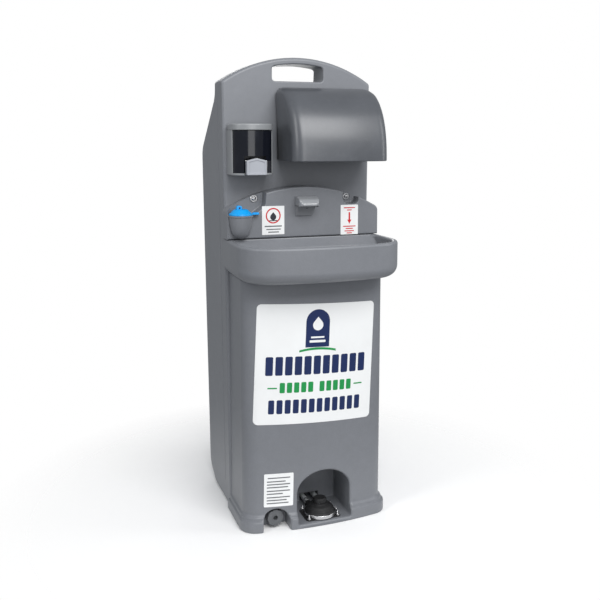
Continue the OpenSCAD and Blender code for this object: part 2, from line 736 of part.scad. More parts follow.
module towel_back() {
    x0 = towel_left + 6;
    x1 = towel_left + towel_w - 6;
    color([0.24, 0.25, 0.27]) difference() {
        union() {
            block([x0, -4, towel_z + 3], [x1, 0, hinge_z - 3]);
            for (x = [x0, x1 - 2]) translate([0, 0, towel_z]) across([[-4, 3], [-4, 200], [-12, 198],
                [-48, 60], [-58, 3]], x, x + 2);
            for (x = [x0 + 1.5, x1 - 8.5]) {
                rod_x(hinge_y, hinge_z, 5.8, x, x + 6);
                block([x, hinge_y - 5.8, hinge_z - 16], [x + 6, hinge_y + 4, hinge_z]);
                block([x, hinge_y - 5.8, hinge_z - 16], [x + 6, 0, hinge_z - 8]);
            }
            block([x1 - 2, lock_y - 16, lock_z + 14], [x1, -40, lock_z + 26]);
            rod_x(lock_y - 11, lock_z + 20, 2, x1 - 8, x1);
            for (x = [towel_mid - roll_half - 5, towel_mid + roll_half + 1])
                block([x, pinch_y - 11, nip_z - 13], [x + 4, -4, nip_z + 15]);
        }
        rod_x(hinge_y, hinge_z, 2.05, x0 - 1, x1 + 1);
        rod_x(feed_y, nip_z, 4 + run_gap, x0 + 10, x1 - 10);
        rod_x(pinch_y, nip_z, 3 + run_gap, x0 + 10, x1 - 10);
        for (x = [towel_mid - 80, towel_mid + 80]) for (z = [towel_z + 60, towel_z + 150])
            rod_y(x, z, 2.6, -5, 1);
    }
}
module cover_pins() {
    color(steel) for (x = [towel_left + 8, towel_left + towel_w - 22])
        rod_x(hinge_y, hinge_z, 2, x, x + 14);
}
module towel_roll() {
    color("white") difference() {
        rod_x(roll_y, roll_z, roll_r, towel_mid - roll_half, towel_mid + roll_half);
        rod_x(roll_y, roll_z, core_r + core_wall, towel_mid - roll_half - 1, towel_mid + roll_half + 1);
    }
}
module roll_core() {
    color([0.62, 0.47, 0.32]) difference() {
        rod_x(roll_y, roll_z, core_r + core_wall, towel_mid - roll_half, towel_mid + roll_half);
        rod_x(roll_y, roll_z, core_r, towel_mid - roll_half - 1, towel_mid + roll_half + 1);
    }
}
// One arm from the back plate to the roll, with the hub that carries the core
module roll_arm(side) {
    x = towel_mid + side * (roll_half + 3);
    union() {
        translate([x - 1.5, 0, 0]) rotate([90, 0, 90]) linear_extrude(3) polygon([[-4, roll_z - 30],
            [-4, roll_z + 30], [roll_y - 8, roll_z + 12], [roll_y - 12, roll_z], [roll_y - 8, roll_z - 12]]);
        rod_x(roll_y, roll_z, core_r - run_gap, min(x, x - side * 15), max(x, x - side * 15));
        block([x - 1.5, -8, roll_z - 30], [x + 1.5, -4, roll_z + 30]);
    }
}
module roll_arms() {
    color([0.24, 0.25, 0.27]) for (side = [-1, 1]) roll_arm(side);
}
// A roller with grooves and a stub shaft at each end
module roller(y, r, shaft, groove) {
    difference() {
        union() {
            rod_x(y, nip_z, r, towel_mid - roll_half + 2, towel_mid + roll_half - 2);
            rod_x(y, nip_z, shaft, towel_mid - roll_half - 7, towel_mid + roll_half + 7);
        }
        for (i = [-3 : 3]) translate([towel_mid + 26 * i, y, nip_z]) rotate([0, 90, 0]) translate([0, 0, -2])
            difference() {
                cylinder(r = r + 1, h = 4);
                translate([0, 0, -1]) cylinder(r = r - groove, h = 6);
            }
    }
}
module feed_roller() {
    color(rubber) roller(feed_y, feed_r, 4, 1.5);
}
module pinch_roller() {
    color(light_grey) roller(pinch_y, pinch_r, 3, 1);
}
module tear_bar() {
    teeth = 24;
    w = 2 * roll_half + 2;
    bar = concat([[-w / 2, 10], [-w / 2, 0]],
        [for (i = [0 : teeth - 1]) each [[-w / 2 + w * (i + 0.5) / teeth, -4], [-w / 2 + w * (i + 1) / teeth, 0]]],
        [[w / 2, 10]]);
    color(steel) translate([towel_mid, 0, nip_z - 17.5]) upright(bar, pinch_y - 12.5, pinch_y - 11);
}
module cover_lock() {
    x = towel_left + towel_w;
    color(steel) difference() {
        union() {
            rod_x(lock_y, lock_z, lock_r, x - cover_wall - 2.4, x + 1.5);
            rod_x(lock_y, lock_z, 3, x - cover_wall - 10, x - cover_wall);
            block([x - cover_wall - 10, lock_y - 4, lock_z - 4], [x - cover_wall - 6.5, lock_y + 16, lock_z + 4]);
        }
        block([x + 0.3, lock_y - 1, lock_z - 5], [x + 3, lock_y + 1, lock_z + 5]);
    }
}
module towel_screws() {
    color(steel) for (x = [towel_mid - 80, towel_mid + 80]) for (z = [towel_z + 60, towel_z + 150]) {
        rod_y(x, z, 2.5, -4.5, 0);
        rod_y(x, z, 5, -7.5, -4);
    }
}

// ---------- soap dispenser ----------

module at_soap(z) {
    translate([-soap_x, 0, z]) children();
}
module soap_back() {
    color(grey) difference() {
        at_soap(soap_z) linear_extrude(soap_top - soap_z) polygon(soap_plan(soap_half, soap_d - 2));
        at_soap(soap_z + 5) linear_extrude(soap_top - soap_z) difference() {
            polygon(soap_plan(soap_half - 2.5, soap_d - 4.5));
            translate([-soap_half, -4]) square([2 * soap_half, 5]);
        }
        at_soap(soap_z + 7) block([-soap_half - 1, -soap_d - 5, 0], [soap_half + 1, -soap_side - 2, 200]);
        at_soap(soap_z - 1) block([-lever_half - 3, -soap_d - 5, 0], [lever_half + 3, -soap_side - 8, 20]);
        for (z = [soap_z + 35, soap_z + 105]) at_soap(z) rod_y(0, 0, 2.6, -6, 1);
    }
    color(grey) for (x = [-soap_half + 8, soap_half - 14]) at_soap(0) difference() {
        union() {
            block([x, lid_pin_y - 4, soap_top], [x + 6, lid_pin_y + 4, lid_pin_z]);
            block([x, lid_pin_y - 4, soap_top], [x + 6, 0, soap_top + 4]);
            translate([x, lid_pin_y, lid_pin_z]) rotate([0, 90, 0]) cylinder(r = 5, h = 6);
        }
        translate([x - 1, lid_pin_y, lid_pin_z]) rotate([0, 90, 0]) cylinder(r = 2.05, h = 8);
    }
}
// The notch in the middle of the soap tank that clears the lever and its valve
module soap_notch() {
    at_soap(soap_z) block([-lever_half - 3, -soap_d - 5, -5], [lever_half + 3, -soap_side - 8, lever_h + 6]);
}
module soap_tank() {
    color([0.10, 0.11, 0.15, 0.6]) difference() {
        at_soap(soap_z + 5.2) linear_extrude(soap_top - soap_z - 5.6) polygon(soap_plan(soap_half - 3, soap_d - 5));
        difference() {
            at_soap(soap_z + 8) linear_extrude(200) difference() {
                polygon(soap_plan(soap_half - 5.5, soap_d - 7.5));
                translate([-soap_half, -7.5]) square([2 * soap_half, 10]);
            }
            at_soap(soap_z) block([-lever_half - 5.5, -soap_d - 5, -5], [lever_half + 5.5, -soap_side - 5.5, lever_h + 8.5]);
        }
        soap_notch();
        at_soap(soap_z) block([-soap_half, -4.8, 0], [soap_half, 1, 200]);
    }
}
module soap_lid() {
    color(grey) difference() {
        union() {
            difference() {
                at_soap(soap_top + 0.5) linear_extrude(lid_h) polygon(soap_plan(soap_half, soap_d));
                at_soap(soap_top) linear_extrude(lid_h - 2.5) polygon(soap_plan(soap_half - 2.5, soap_d - 2.5));
                block([-soap_x - soap_half - 1, -2.5, soap_top], [-soap_x + soap_half + 1, 1, soap_top + 30]);
                block([-soap_x - soap_half - 1, lid_pin_y, soap_top], [-soap_x + soap_half + 1, 1, lid_pin_z]);
            }
            for (x = [-soap_half + 16, soap_half - 21]) at_soap(0)
                block([x, lid_pin_y - 4, lid_pin_z - 4], [x + 5, lid_pin_y + 4, soap_top + lid_h - 1]);
        }
        rod_x(lid_pin_y, lid_pin_z, 2 + run_gap, -soap_x - soap_half + 4, -soap_x + soap_half - 4);
        translate([0, lid_pin_y, lid_pin_z]) difference() {
            translate([-soap_x - soap_half - 1, 0, 0]) cube([2 * soap_half + 2, 12, 12]);
            rod_x(0, 0, 7.7, -soap_x - soap_half - 2, -soap_x + soap_half + 2);
        }
    }
}
module lid_pin() {
    color(steel) rod_x(lid_pin_y, lid_pin_z, 2, -soap_x - soap_half + 7, -soap_x + soap_half - 7);
}
function lever_outline() = [[-lever_half, 0], [lever_half, 0], [lever_half, lever_h - 7],
    [0, lever_h], [-lever_half, lever_h - 7]];
module soap_lever() {
    color(light_grey) difference() {
        union() {
            at_soap(soap_z) upright(lever_outline(), -soap_d - 8, -soap_d - 1);
            at_soap(soap_z) difference() {
                upright(lever_outline(), -soap_d - 1, -96);
                block([-lever_half + 2.5, -soap_d, 2.5], [lever_half - 2.5, -90, lever_h - 12]);
            }
        }
        rod_x(lever_pin_y, lever_pin_z, 1.5 + run_gap, -soap_x - lever_half - 2, -soap_x + lever_half + 2);
        at_soap(soap_z) block([-lever_half + 2.5, -soap_d, lever_h - 16], [lever_half - 2.5, -90, lever_h - 4]);
    }
}
module lever_pin() {
    color(steel) rod_x(lever_pin_y, lever_pin_z, 1.5, -soap_x - lever_half - 2.8, -soap_x + lever_half + 2.8);
}
module soap_valve() {
    color(light_grey) difference() {
        union() {
            at_soap(0) block([-10, -90, piston_z - 9], [10, -soap_side - 8, piston_z + 9]);
            at_soap(piston_z - 20) translate([0, -80, 0]) cylinder(r = 4, h = 14);
        }
        at_soap(piston_z) rod_y(0, 0, piston_r + run_gap, -91, -soap_side - 11);
        at_soap(piston_z - 21) translate([0, -80, 0]) cylinder(r = 2, h = 20);
    }
}
module soap_piston() {
    color("white") at_soap(piston_z) {
        rod_y(0, 0, 2, piston_y, -97);
        rod_y(0, 0, piston_r, -97, -84);
    }
}
module piston_spring() {
    color(steel) at_soap(piston_z) translate([0, -83.7, 0]) rotate([-90, 0, 0]) coil(4, 0.6, 4, 12);
}
module soap_screws() {
    color(steel) for (z = [soap_z + 35, soap_z + 105]) at_soap(z) rod_y(0, 0, 2.5, -4.4, 0);
}

fresh_tank();
waste_tank();
bowl();
backsplash();
splash_screws();
splash_washers();
bowl_strainer();
tailpiece();
tailpiece_nut();
tailpiece_gasket();
faucet_spout();
faucet_gasket();
faucet_nut();
fill_tube();
fill_cap();
cap_gasket();
front_label();
splash_label();
towel_label();
service_label();
pump_base();
pump_bellows();
pump_button();
clamp_ring();
clamp_screw();
pump_spring();
pump_valves();
pump_studs();
pump_nuts();
suction_hose();
delivery_hose();
hose_clamps();
tank_outlet();
outlet_nut();
drain_bushing();
drain_plug();
plug_thread();
plug_gasket();
towel_back();
towel_cover();
cover_pins();
towel_roll();
roll_core();
roll_arms();
feed_roller();
pinch_roller();
tear_bar();
cover_lock();
towel_screws();
soap_back();
soap_tank();
soap_lid();
lid_pin();
soap_lever();
lever_pin();
soap_valve();
soap_piston();
piston_spring();
soap_screws();
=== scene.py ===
"""A portable handwash sink: moulded tanks, bowl, foot pump, towel and soap dispensers.

Sizes are in millimetres until a mesh is made. X is to the right, Y to the back, Z up.
"""
import json
import math

import bmesh
import bpy
from mathutils import Matrix, Vector


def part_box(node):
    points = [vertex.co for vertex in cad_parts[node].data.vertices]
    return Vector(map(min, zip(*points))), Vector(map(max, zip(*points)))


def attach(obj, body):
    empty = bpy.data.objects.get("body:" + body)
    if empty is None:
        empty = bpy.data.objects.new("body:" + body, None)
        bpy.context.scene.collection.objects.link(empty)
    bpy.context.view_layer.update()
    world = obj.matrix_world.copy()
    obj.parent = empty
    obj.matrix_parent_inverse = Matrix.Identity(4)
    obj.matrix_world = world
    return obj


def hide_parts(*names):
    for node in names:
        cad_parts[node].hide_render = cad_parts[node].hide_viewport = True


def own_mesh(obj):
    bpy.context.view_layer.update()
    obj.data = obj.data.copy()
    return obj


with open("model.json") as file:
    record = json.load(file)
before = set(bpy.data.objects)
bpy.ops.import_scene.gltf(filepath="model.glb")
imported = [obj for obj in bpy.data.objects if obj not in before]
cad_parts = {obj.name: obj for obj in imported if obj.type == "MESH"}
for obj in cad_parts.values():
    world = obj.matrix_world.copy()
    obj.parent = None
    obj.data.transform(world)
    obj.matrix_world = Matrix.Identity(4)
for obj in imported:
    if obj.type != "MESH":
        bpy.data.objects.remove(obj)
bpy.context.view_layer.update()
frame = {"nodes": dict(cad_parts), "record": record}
scene = bpy.context.scene
MM = 0.001


# ---------- where things are ----------

class Place:
    """The box of one or more CAD nodes at rest."""

    def __init__(self, *nodes):
        boxes = [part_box(node) for node in nodes]
        low = [min(b[0][i] for b in boxes) / MM for i in range(3)]
        high = [max(b[1][i] for b in boxes) / MM for i in range(3)]
        self.x0, self.y0, self.z0 = low
        self.x1, self.y1, self.z1 = high
        self.x, self.y, self.z = ((a + b) / 2 for a, b in zip(low, high))


PANEL = Place("fresh_tank")
FRONT = Place("waste_tank")
BOWL = Place("bowl")
SPLASH = Place("backsplash")
PUMP = Place("pump_bellows")
PLUG = Place("drain_plug")
HOOD = Place("towel_cover")
SOAP = Place("soap_back")


# ---------- finishes ----------

class Reading:
    """A shader socket that takes part in sums."""

    def __init__(self, finish, socket):
        self.finish, self.socket = finish, socket

    def maths(self, operation, *values):
        return self.finish.add("ShaderNodeMath", {"operation": operation}, dict(enumerate(values)))

    def __add__(self, other):
        return self.maths("ADD", self, other)

    def __radd__(self, other):
        return self.maths("ADD", other, self)

    def __sub__(self, other):
        return self.maths("SUBTRACT", self, other)

    def __rsub__(self, other):
        return self.maths("SUBTRACT", other, self)

    def __mul__(self, other):
        return self.maths("MULTIPLY", self, other)

    def __rmul__(self, other):
        return self.maths("MULTIPLY", other, self)

    def between(self, low, high):
        """0 at low, 1 at high, held at both ends."""
        return self.finish.add("ShaderNodeMapRange", {"clamp": True},
                               {"Value": self, "From Min": low, "From Max": high})


class Finish:
    """One material, built a node at a time."""

    def __init__(self, name, **constants):
        self.material = bpy.data.materials.new(name)
        self.material.use_nodes = True
        tree = self.material.node_tree
        self.nodes, self.links = tree.nodes, tree.links
        self.nodes.clear()
        output = self.nodes.new("ShaderNodeOutputMaterial")
        self.shader = self.nodes.new("ShaderNodeBsdfPrincipled")
        self.links.new(self.shader.outputs[0], output.inputs["Surface"])
        for socket, value in constants.items():
            self.set(socket.replace("_", " ").title().replace("Ior", "IOR"), value)
        self.spot = self.add("ShaderNodeTexCoord", out="Object")

    def feed(self, socket, value):
        if isinstance(value, Reading):
            self.links.new(value.socket, socket)
        elif isinstance(value, tuple) and len(socket.default_value) == 4:
            socket.default_value = (*value, 1)
        else:
            socket.default_value = value

    def set(self, socket, value):
        self.feed(self.shader.inputs[socket], value)

    def add(self, kind, settings=None, inputs=None, out=0):
        node = self.nodes.new(kind)
        for key, value in (settings or {}).items():
            if key == "stops":
                for stop, (where, tone) in zip(node.color_ramp.elements, value):
                    stop.position, stop.color = where, (*tone, 1)
            else:
                setattr(node, key, value)
        for key, value in (inputs or {}).items():
            self.feed(node.inputs[key], value)
        return Reading(self, node.outputs[out])

    def stretched(self, by):
        return self.add("ShaderNodeVectorMath", {"operation": "MULTIPLY"}, {0: self.spot, 1: by})

    def noise(self, scale, detail=2.0, by=None):
        return self.add("ShaderNodeTexNoise", {},
                        {"Vector": self.stretched(by) if by else self.spot, "Scale": scale,
                         "Detail": detail, "Roughness": 0.55})

    def cells(self, scale, by=None):
        return self.add("ShaderNodeTexVoronoi", {},
                        {"Vector": self.stretched(by) if by else self.spot, "Scale": scale})

    def blend(self, amount, first, second):
        return self.add("ShaderNodeMix", {"data_type": "RGBA"}, {0: amount, 6: first, 7: second}, out=2)

    def tones(self, amount, colour, spread):
        """The colour a little darker or lighter by amount."""
        darker = tuple(c * (1 - spread) for c in colour)
        lighter = tuple(min(1.0, c * (1 + spread)) for c in colour)
        return self.blend(amount, darker, lighter)

    def bump(self, *layers):
        """Each layer is a height from 0 to 1 and its depth in millimetres."""
        normal = None
        for height, depth in layers:
            inputs = {"Height": height, "Distance": depth * MM, "Strength": 1.0}
            if normal:
                inputs["Normal"] = normal
            normal = self.add("ShaderNodeBump", {}, inputs)
        self.set("Normal", normal)


def polyethylene(name, colour, spread=0.09, waves=1.0):
    """Rotomoulded skin: fine pigment specks, a soft satin and a slow waviness."""
    it = Finish(name, specular_ior_level=0.42)
    grain, specks, clouds = it.noise(380, 3), it.noise(1300, 2), it.noise(4.5, 2)
    mottle = it.noise(55, 2)
    tone = (grain * 0.34 + specks * 0.3 + clouds * 0.2 + mottle * 0.16).between(0.36, 0.64)
    rubbed = it.noise(11, 4).between(0.58, 0.78)
    shade = it.blend(rubbed * 0.22, it.tones(tone, colour, spread), tuple(min(1, c * 1.22) for c in colour))
    it.set("Base Color", shade)
    it.set("Roughness", 0.37 + (grain - 0.5) * 0.14 + (clouds - 0.5) * 0.10 - rubbed * 0.05)
    it.bump((it.noise(6, 1.5), 1.6 * waves), (mottle, 0.10), (grain * 0.7 + specks * 0.3, 0.055))
    return it.material


def moulded(name, colour, rough=0.35, spread=0.05, grain=0.03, coat=0.0):
    """Injection-moulded plastic with a spark-eroded grain and handling marks."""
    it = Finish(name, coat_weight=coat, coat_roughness=0.12)
    pits, clouds, marks = it.cells(900), it.noise(9, 3), it.noise(26, 5, (1, 1, 0.25))
    tone = (it.noise(700, 2) * 0.5 + clouds * 0.5).between(0.34, 0.66)
    it.set("Base Color", it.tones(tone, colour, spread))
    it.set("Roughness", rough + (clouds - 0.5) * 0.12 + marks.between(0.55, 0.8) * 0.10)
    it.bump((it.noise(8, 1), 0.35), (pits, grain))
    return it.material


def hood_plastic():
    """The towel cover: glossy, with a metallic fleck and a faint flow pattern."""
    it = Finish("glossy_hood_plastic", coat_weight=0.2, coat_roughness=0.22, specular_ior_level=0.6)
    flecks, clouds = it.noise(950, 2), it.noise(14, 3)
    dust = it.noise(60, 4).between(0.52, 0.75)
    tone = (flecks * 0.62 + clouds * 0.38).between(0.36, 0.64)
    it.set("Base Color", it.blend(dust * 0.04, it.tones(tone, (0.068, 0.073, 0.083), 0.14),
                                  (0.24, 0.25, 0.26)))
    it.set("Roughness", 0.36 + (clouds - 0.5) * 0.04 + dust * 0.02)
    it.bump((it.noise(7, 1), 0.5), (flecks, 0.006))
    return it.material


def smoked_plastic():
    """The soap tank: near black, polished, with streaky patches of a film of dried soap."""
    it = Finish("smoked_soap_tank", coat_weight=0.1, coat_roughness=0.03, specular_ior_level=0.4)
    film, clouds = it.noise(34, 4, (1, 1, 0.4)), it.noise(8, 2)
    it.set("Base Color", it.blend(film.between(0.5, 0.85) * 0.35, (0.0045, 0.0055, 0.010),
                                  (0.022, 0.026, 0.038)))
    it.set("Roughness", 0.10 + film.between(0.45, 0.8) * 0.12)
    it.bump((clouds, 0.25))
    return it.material


def steel(name, colour=(0.56, 0.56, 0.57), rough=0.24, by=(1, 40, 1)):
    """Stainless steel with a drawn grain and a little staining."""
    it = Finish(name, metallic=1.0)
    drawn, stain = it.noise(90, 3, by), it.noise(45, 4)
    it.set("Base Color", it.blend(stain.between(0.5, 0.85) * 0.45, it.tones(drawn, colour, 0.10),
                                  (0.34, 0.32, 0.29)))
    it.set("Roughness", rough + (drawn - 0.5) * 0.16 + stain.between(0.5, 0.85) * 0.14)
    it.bump((drawn, 0.02))
    return it.material


def rubber(name, colour=(0.013, 0.013, 0.014)):
    """Moulded rubber with dust caught in its pores."""
    it = Finish(name, specular_ior_level=0.35)
    pores, dust = it.noise(620, 3), it.noise(70, 5)
    it.set("Base Color", it.blend(dust.between(0.5, 0.85) * 0.45, colour, tuple(c * 3.6 for c in colour)))
    it.set("Roughness", 0.62 + (pores - 0.5) * 0.2 - dust.between(0.5, 0.9) * 0.08)
    it.bump((dust, 0.12), (pores, 0.05))
    return it.material


def vinyl():
    """Printed vinyl, off-white, with a soft sheen and dusty patches."""
    it = Finish("label_vinyl", coat_weight=0.15, coat_roughness=0.25)
    clouds, specks = it.noise(12, 4), it.noise(420, 2)
    it.set("Base Color", it.blend(clouds.between(0.45, 0.8) * 0.5, (0.80, 0.81, 0.81), (0.73, 0.735, 0.73)))
    it.set("Roughness", 0.40 + (clouds - 0.5) * 0.15)
    it.bump((it.noise(16, 2), 0.18), (specks, 0.01))
    return it.material


def ink(name, colour):
    """Screen-printed ink, slightly worn."""
    it = Finish(name, specular_ior_level=0.45)
    wear = it.noise(210, 4)
    it.set("Base Color", it.blend(wear.between(0.60, 0.82) * 0.35, it.tones(it.noise(40, 2), colour, 0.08),
                                  tuple(min(1.0, c * 1.6 + 0.03) for c in colour)))
    it.set("Roughness", 0.42 + (wear - 0.5) * 0.12)
    it.bump((wear, 0.01))
    return it.material


def paper():
    """Embossed towel paper."""
    it = Finish("towel_paper", subsurface_weight=0.08, subsurface_scale=0.002, sheen_weight=0.15)
    dots, fibres = it.cells(170), it.noise(260, 4, (1, 3, 3))
    it.set("Base Color", it.blend(fibres.between(0.4, 0.7), (0.78, 0.77, 0.735), (0.86, 0.855, 0.83)))
    it.set("Roughness", 0.85 + (fibres - 0.5) * 0.1)
    it.bump((dots.between(0.1, 0.5), 0.25), (fibres, 0.12))
    return it.material


def board():
    """Plain board of the roll's core, wound in a spiral."""
    it = Finish("core_board")
    fibres, bands = it.noise(300, 4, (0.4, 2, 2)), it.noise(30, 2, (4, 0.4, 0.4))
    it.set("Base Color", it.tones((fibres * 0.7 + bands * 0.3).between(0.35, 0.65), (0.36, 0.25, 0.15), 0.2))
    it.set("Roughness", 0.85 + (fibres - 0.5) * 0.1)
    it.bump((fibres, 0.1))
    return it.material


def clear_hose():
    """Soft clear hose, a little milky, with a reinforcing weave."""
    it = Finish("clear_hose", transmission_weight=0.35, ior=1.45)
    weave, cloud = it.cells(420, (1, 1, 0.6)), it.noise(18, 3)
    it.set("Base Color", it.tones((weave * 0.6 + cloud * 0.4).between(0.2, 0.8), (0.62, 0.65, 0.66), 0.1))
    it.set("Roughness", 0.24 + cloud * 0.12)
    it.bump((weave, 0.06))
    return it.material


def floor_finish():
    """Pale studio floor, which fades out well away from the sink."""
    it = Finish("pale_floor", specular_ior_level=0.1)
    it.set("Base Color", it.tones(it.noise(3, 3), (0.95, 0.95, 0.95), 0.01))
    it.set("Roughness", 0.75 + (it.noise(60, 3) - 0.5) * 0.1)
    away = it.add("ShaderNodeVectorMath", {"operation": "LENGTH"}, {0: it.spot}, "Value")
    it.set("Alpha", 1 - away.between(0.36, 1.0))
    return it.material


TANKS = polyethylene("rotomoulded_grey", (0.178, 0.186, 0.203))
COLUMN = polyethylene("rotomoulded_grey_front", (0.172, 0.180, 0.197), waves=1.2)
PLUG_GREY = moulded("plug_grey_nylon", (0.105, 0.110, 0.118), 0.42)
HOOD_GLOSS = hood_plastic()
DARK = moulded("dark_moulded_plastic", (0.040, 0.042, 0.046), 0.44)
SOAP_GREY = moulded("soap_frame_grey", (0.235, 0.245, 0.255), 0.34, coat=0.25)
LEVER_GREY = moulded("pale_lever_grey", (0.34, 0.355, 0.39), 0.38, coat=0.1)
# the tap: a glossier, lighter copy of the tank grey; the gloss is real, the lighter tone is painted highlight
TAP_GREY_PAINTED_HIGHLIGHT = moulded("tap_grey_painted_highlight", (0.245, 0.255, 0.27), 0.24, coat=0.4)
SMOKED = smoked_plastic()
WHITE = moulded("white_acetal", (0.76, 0.76, 0.75), 0.4)
FITTING = moulded("fitting_grey_nylon", (0.42, 0.43, 0.45), 0.45)
BLUE = moulded("blue_cap_plastic", (0.0, 0.30, 0.72), 0.42)
BLACK = moulded("black_moulded_plastic", (0.016, 0.016, 0.018), 0.46)
RUBBER = rubber("black_pump_rubber")
SEAL = rubber("seal_rubber", (0.020, 0.020, 0.020))
STEEL = steel("stainless_steel")
SPRING = steel("spring_steel", (0.46, 0.46, 0.47), 0.3, (8, 8, 8))
HOSE = clear_hose()
LABEL = vinyl()
PAPER = paper()
BOARD = board()
NAVY = ink("navy_ink", (0.006, 0.018, 0.085))
GREEN = ink("green_ink", (0.010, 0.260, 0.062))
RED = ink("red_ink", (0.56, 0.016, 0.022))
DARK_INK = ink("dark_ink", (0.018, 0.022, 0.032))
GREY_INK = ink("grey_ink", (0.14, 0.145, 0.155))
FINISH_OF_SLOT = {
    "tank_grey": TANKS, "plug_grey": PLUG_GREY, "cover_grey": HOOD_GLOSS, "dark_plastic": DARK,
    "soap_grey": SOAP_GREY, "lever_grey": LEVER_GREY, "smoked": SMOKED, "white_plastic": WHITE,
    "fitting_grey": FITTING, "cap_blue": BLUE, "black_rubber": RUBBER, "seal_rubber": SEAL,
    "black_plastic": BLACK, "stainless": STEEL, "hose_clear": HOSE, "label_white": LABEL,
    "towel_paper": PAPER, "core_board": BOARD,
}


# ---------- outlines ----------

def corner(before, at, after, radius, steps):
    """The arc that rounds the corner at a point."""
    p, q, s = Vector(before), Vector(at), Vector(after)
    if radius == 0:
        return [tuple(q)]
    a, b = (p - q).normalized(), (s - q).normalized()
    half = math.acos(max(-1, min(1, a.dot(b)))) / 2
    centre = q + (a + b).normalized() * radius / math.sin(half)
    v0, v1 = q + a * radius / math.tan(half) - centre, q + b * radius / math.tan(half) - centre
    turn = math.pi - 2 * half
    return [tuple(centre + (v0 * math.sin((1 - i / steps) * turn) + v1 * math.sin(i / steps * turn))
                  / math.sin(turn)) for i in range(steps + 1)]


def rounded(points, steps=6):
    """A closed outline from corners (a, b, radius)."""
    n = len(points)
    line = []
    for i, (a, b, radius) in enumerate(points):
        line += corner(points[i - 1][:2], (a, b), points[(i + 1) % n][:2], radius, steps)
    return line


def rectangle(a0, b0, a1, b1, radius=0, steps=5):
    return rounded([(a0, b0, radius), (a1, b0, radius), (a1, b1, radius), (a0, b1, radius)], steps)


def arc(a, b, radius, start, end, steps):
    turns = [math.radians(start + (end - start) * i / steps) for i in range(steps + 1)]
    return [(a + radius * math.cos(t), b + radius * math.sin(t)) for t in turns]


def bowed(half, depth, bow, reach, steps=28):
    """A bowed front edge from -reach to reach."""
    xs = [-reach + 2 * reach * i / steps for i in range(steps + 1)]
    return [(x, -depth + bow * (x / half) ** 2, 0) for x in xs]


def plan(half, depth, bow, radius, steps=10):
    """Plan of a shell that stands out of the panel."""
    return rounded([(-half, 0, 0), (-half, -depth + bow, radius), *bowed(half, depth, bow, half - radius),
                    (half, -depth + bow, radius), (half, 0, 0)], steps)


def spread(outline, by):
    """The outline moved outwards by a distance, point by point."""
    n = len(outline)
    area = sum(outline[i - 1][0] * outline[i][1] - outline[i][0] * outline[i - 1][1] for i in range(n))
    sign = 1 if area > 0 else -1
    result = []
    for i in range(n):
        p, q, s = (Vector(outline[j % n]) for j in (i - 1, i, i + 1))
        a, b = (q - p).normalized(), (s - q).normalized()
        normal = (Vector((a.y, -a.x)) + Vector((b.y, -b.x))).normalized() * sign
        result.append(tuple(q + normal * by / max(0.35, normal.dot(Vector((a.y, -a.x)) * sign))))
    return result


# ---------- mesh work ----------

AXES = {"x": lambda a, b, c: (c, a, b), "y": lambda a, b, c: (a, c, b), "z": lambda a, b, c: (a, b, c)}


def as_piece(name, bm):
    bmesh.ops.recalc_face_normals(bm, faces=bm.faces)
    mesh = bpy.data.meshes.new(name)
    bm.to_mesh(mesh)
    bm.free()
    piece = bpy.data.objects.new(name, mesh)
    scene.collection.objects.link(piece)
    return piece


def loft(name, rings):
    """A solid through rings of 3-D points, capped at both ends."""
    bm = bmesh.new()
    grid = [[bm.verts.new(Vector(point) * MM) for point in ring] for ring in rings]
    count = len(grid[0])
    for near, far in zip(grid, grid[1:]):
        for i in range(count):
            j = (i + 1) % count
            bm.faces.new((near[i], near[j], far[j], far[i]))
    bm.faces.new(grid[0][::-1])
    bm.faces.new(grid[-1])
    return as_piece(name, bm)


def prism(name, outline, axis, low, high):
    place = AXES[axis]
    return loft(name, [[place(a, b, c) for a, b in outline] for c in (low, high)])


def lathe(name, profile, centre, axis="z", steps=48):
    """A turned solid from (radius, height) points; a profile off the axis makes a ring."""
    bm = bmesh.new()
    place = AXES[axis]
    columns = []
    poles = {}
    for k in range(steps):
        t = 2 * math.pi * k / steps
        column = []
        for i, (r, h) in enumerate(profile):
            if r < 1e-6:
                if i not in poles:
                    poles[i] = bm.verts.new((Vector(centre) + Vector(place(0, 0, h))) * MM)
                column.append(poles[i])
            else:
                spot = Vector(centre) + Vector(place(r * math.cos(t), r * math.sin(t), h))
                column.append(bm.verts.new(spot * MM))
        columns.append(column)
    ring = not poles
    for k in range(steps):
        here, there = columns[k], columns[(k + 1) % steps]
        for i in range(len(profile) if ring else len(profile) - 1):
            j = (i + 1) % len(profile)
            quad = []
            for vert in (here[i], here[j], there[j], there[i]):
                if vert not in quad:
                    quad.append(vert)
            if len(quad) > 2:
                bm.faces.new(quad)
    return as_piece(name, bm)


def rod(name, centre, axis, radius, low, high, chamfer=0.6, steps=32):
    """A round bar with chamfered ends; centre gives its place across the axis."""
    return lathe(name, [(0, low), (radius - chamfer, low), (radius, low + chamfer),
                        (radius, high - chamfer), (radius - chamfer, high), (0, high)],
                 centre, axis, steps)


def tube(name, points, radius, sides=12):
    """A round wire or hose along points."""
    path = [Vector(p) for p in points]
    rings = []
    side = None
    for i, p in enumerate(path):
        ahead = (path[min(i + 1, len(path) - 1)] - path[max(i - 1, 0)]).normalized()
        if side is None:
            side = ahead.orthogonal().normalized()
        side = (side - ahead * side.dot(ahead)).normalized()
        up = ahead.cross(side)
        rings.append([p + (side * math.cos(2 * math.pi * k / sides) + up * math.sin(2 * math.pi * k / sides))
                      * radius for k in range(sides)])
    return loft(name, rings)


def join(name, *pieces):
    """Several solids as one piece."""
    bm = bmesh.new()
    for piece in pieces:
        bm.from_mesh(piece.data)
        bpy.data.objects.remove(piece)
    return as_piece(name, bm)


def settle(piece):
    """Turns a piece's modifiers into its mesh."""
    graph = bpy.context.evaluated_depsgraph_get()
    mesh = bpy.data.meshes.new_from_object(piece.evaluated_get(graph), depsgraph=graph)
    piece.modifiers.clear()
    piece.data = mesh
    return piece


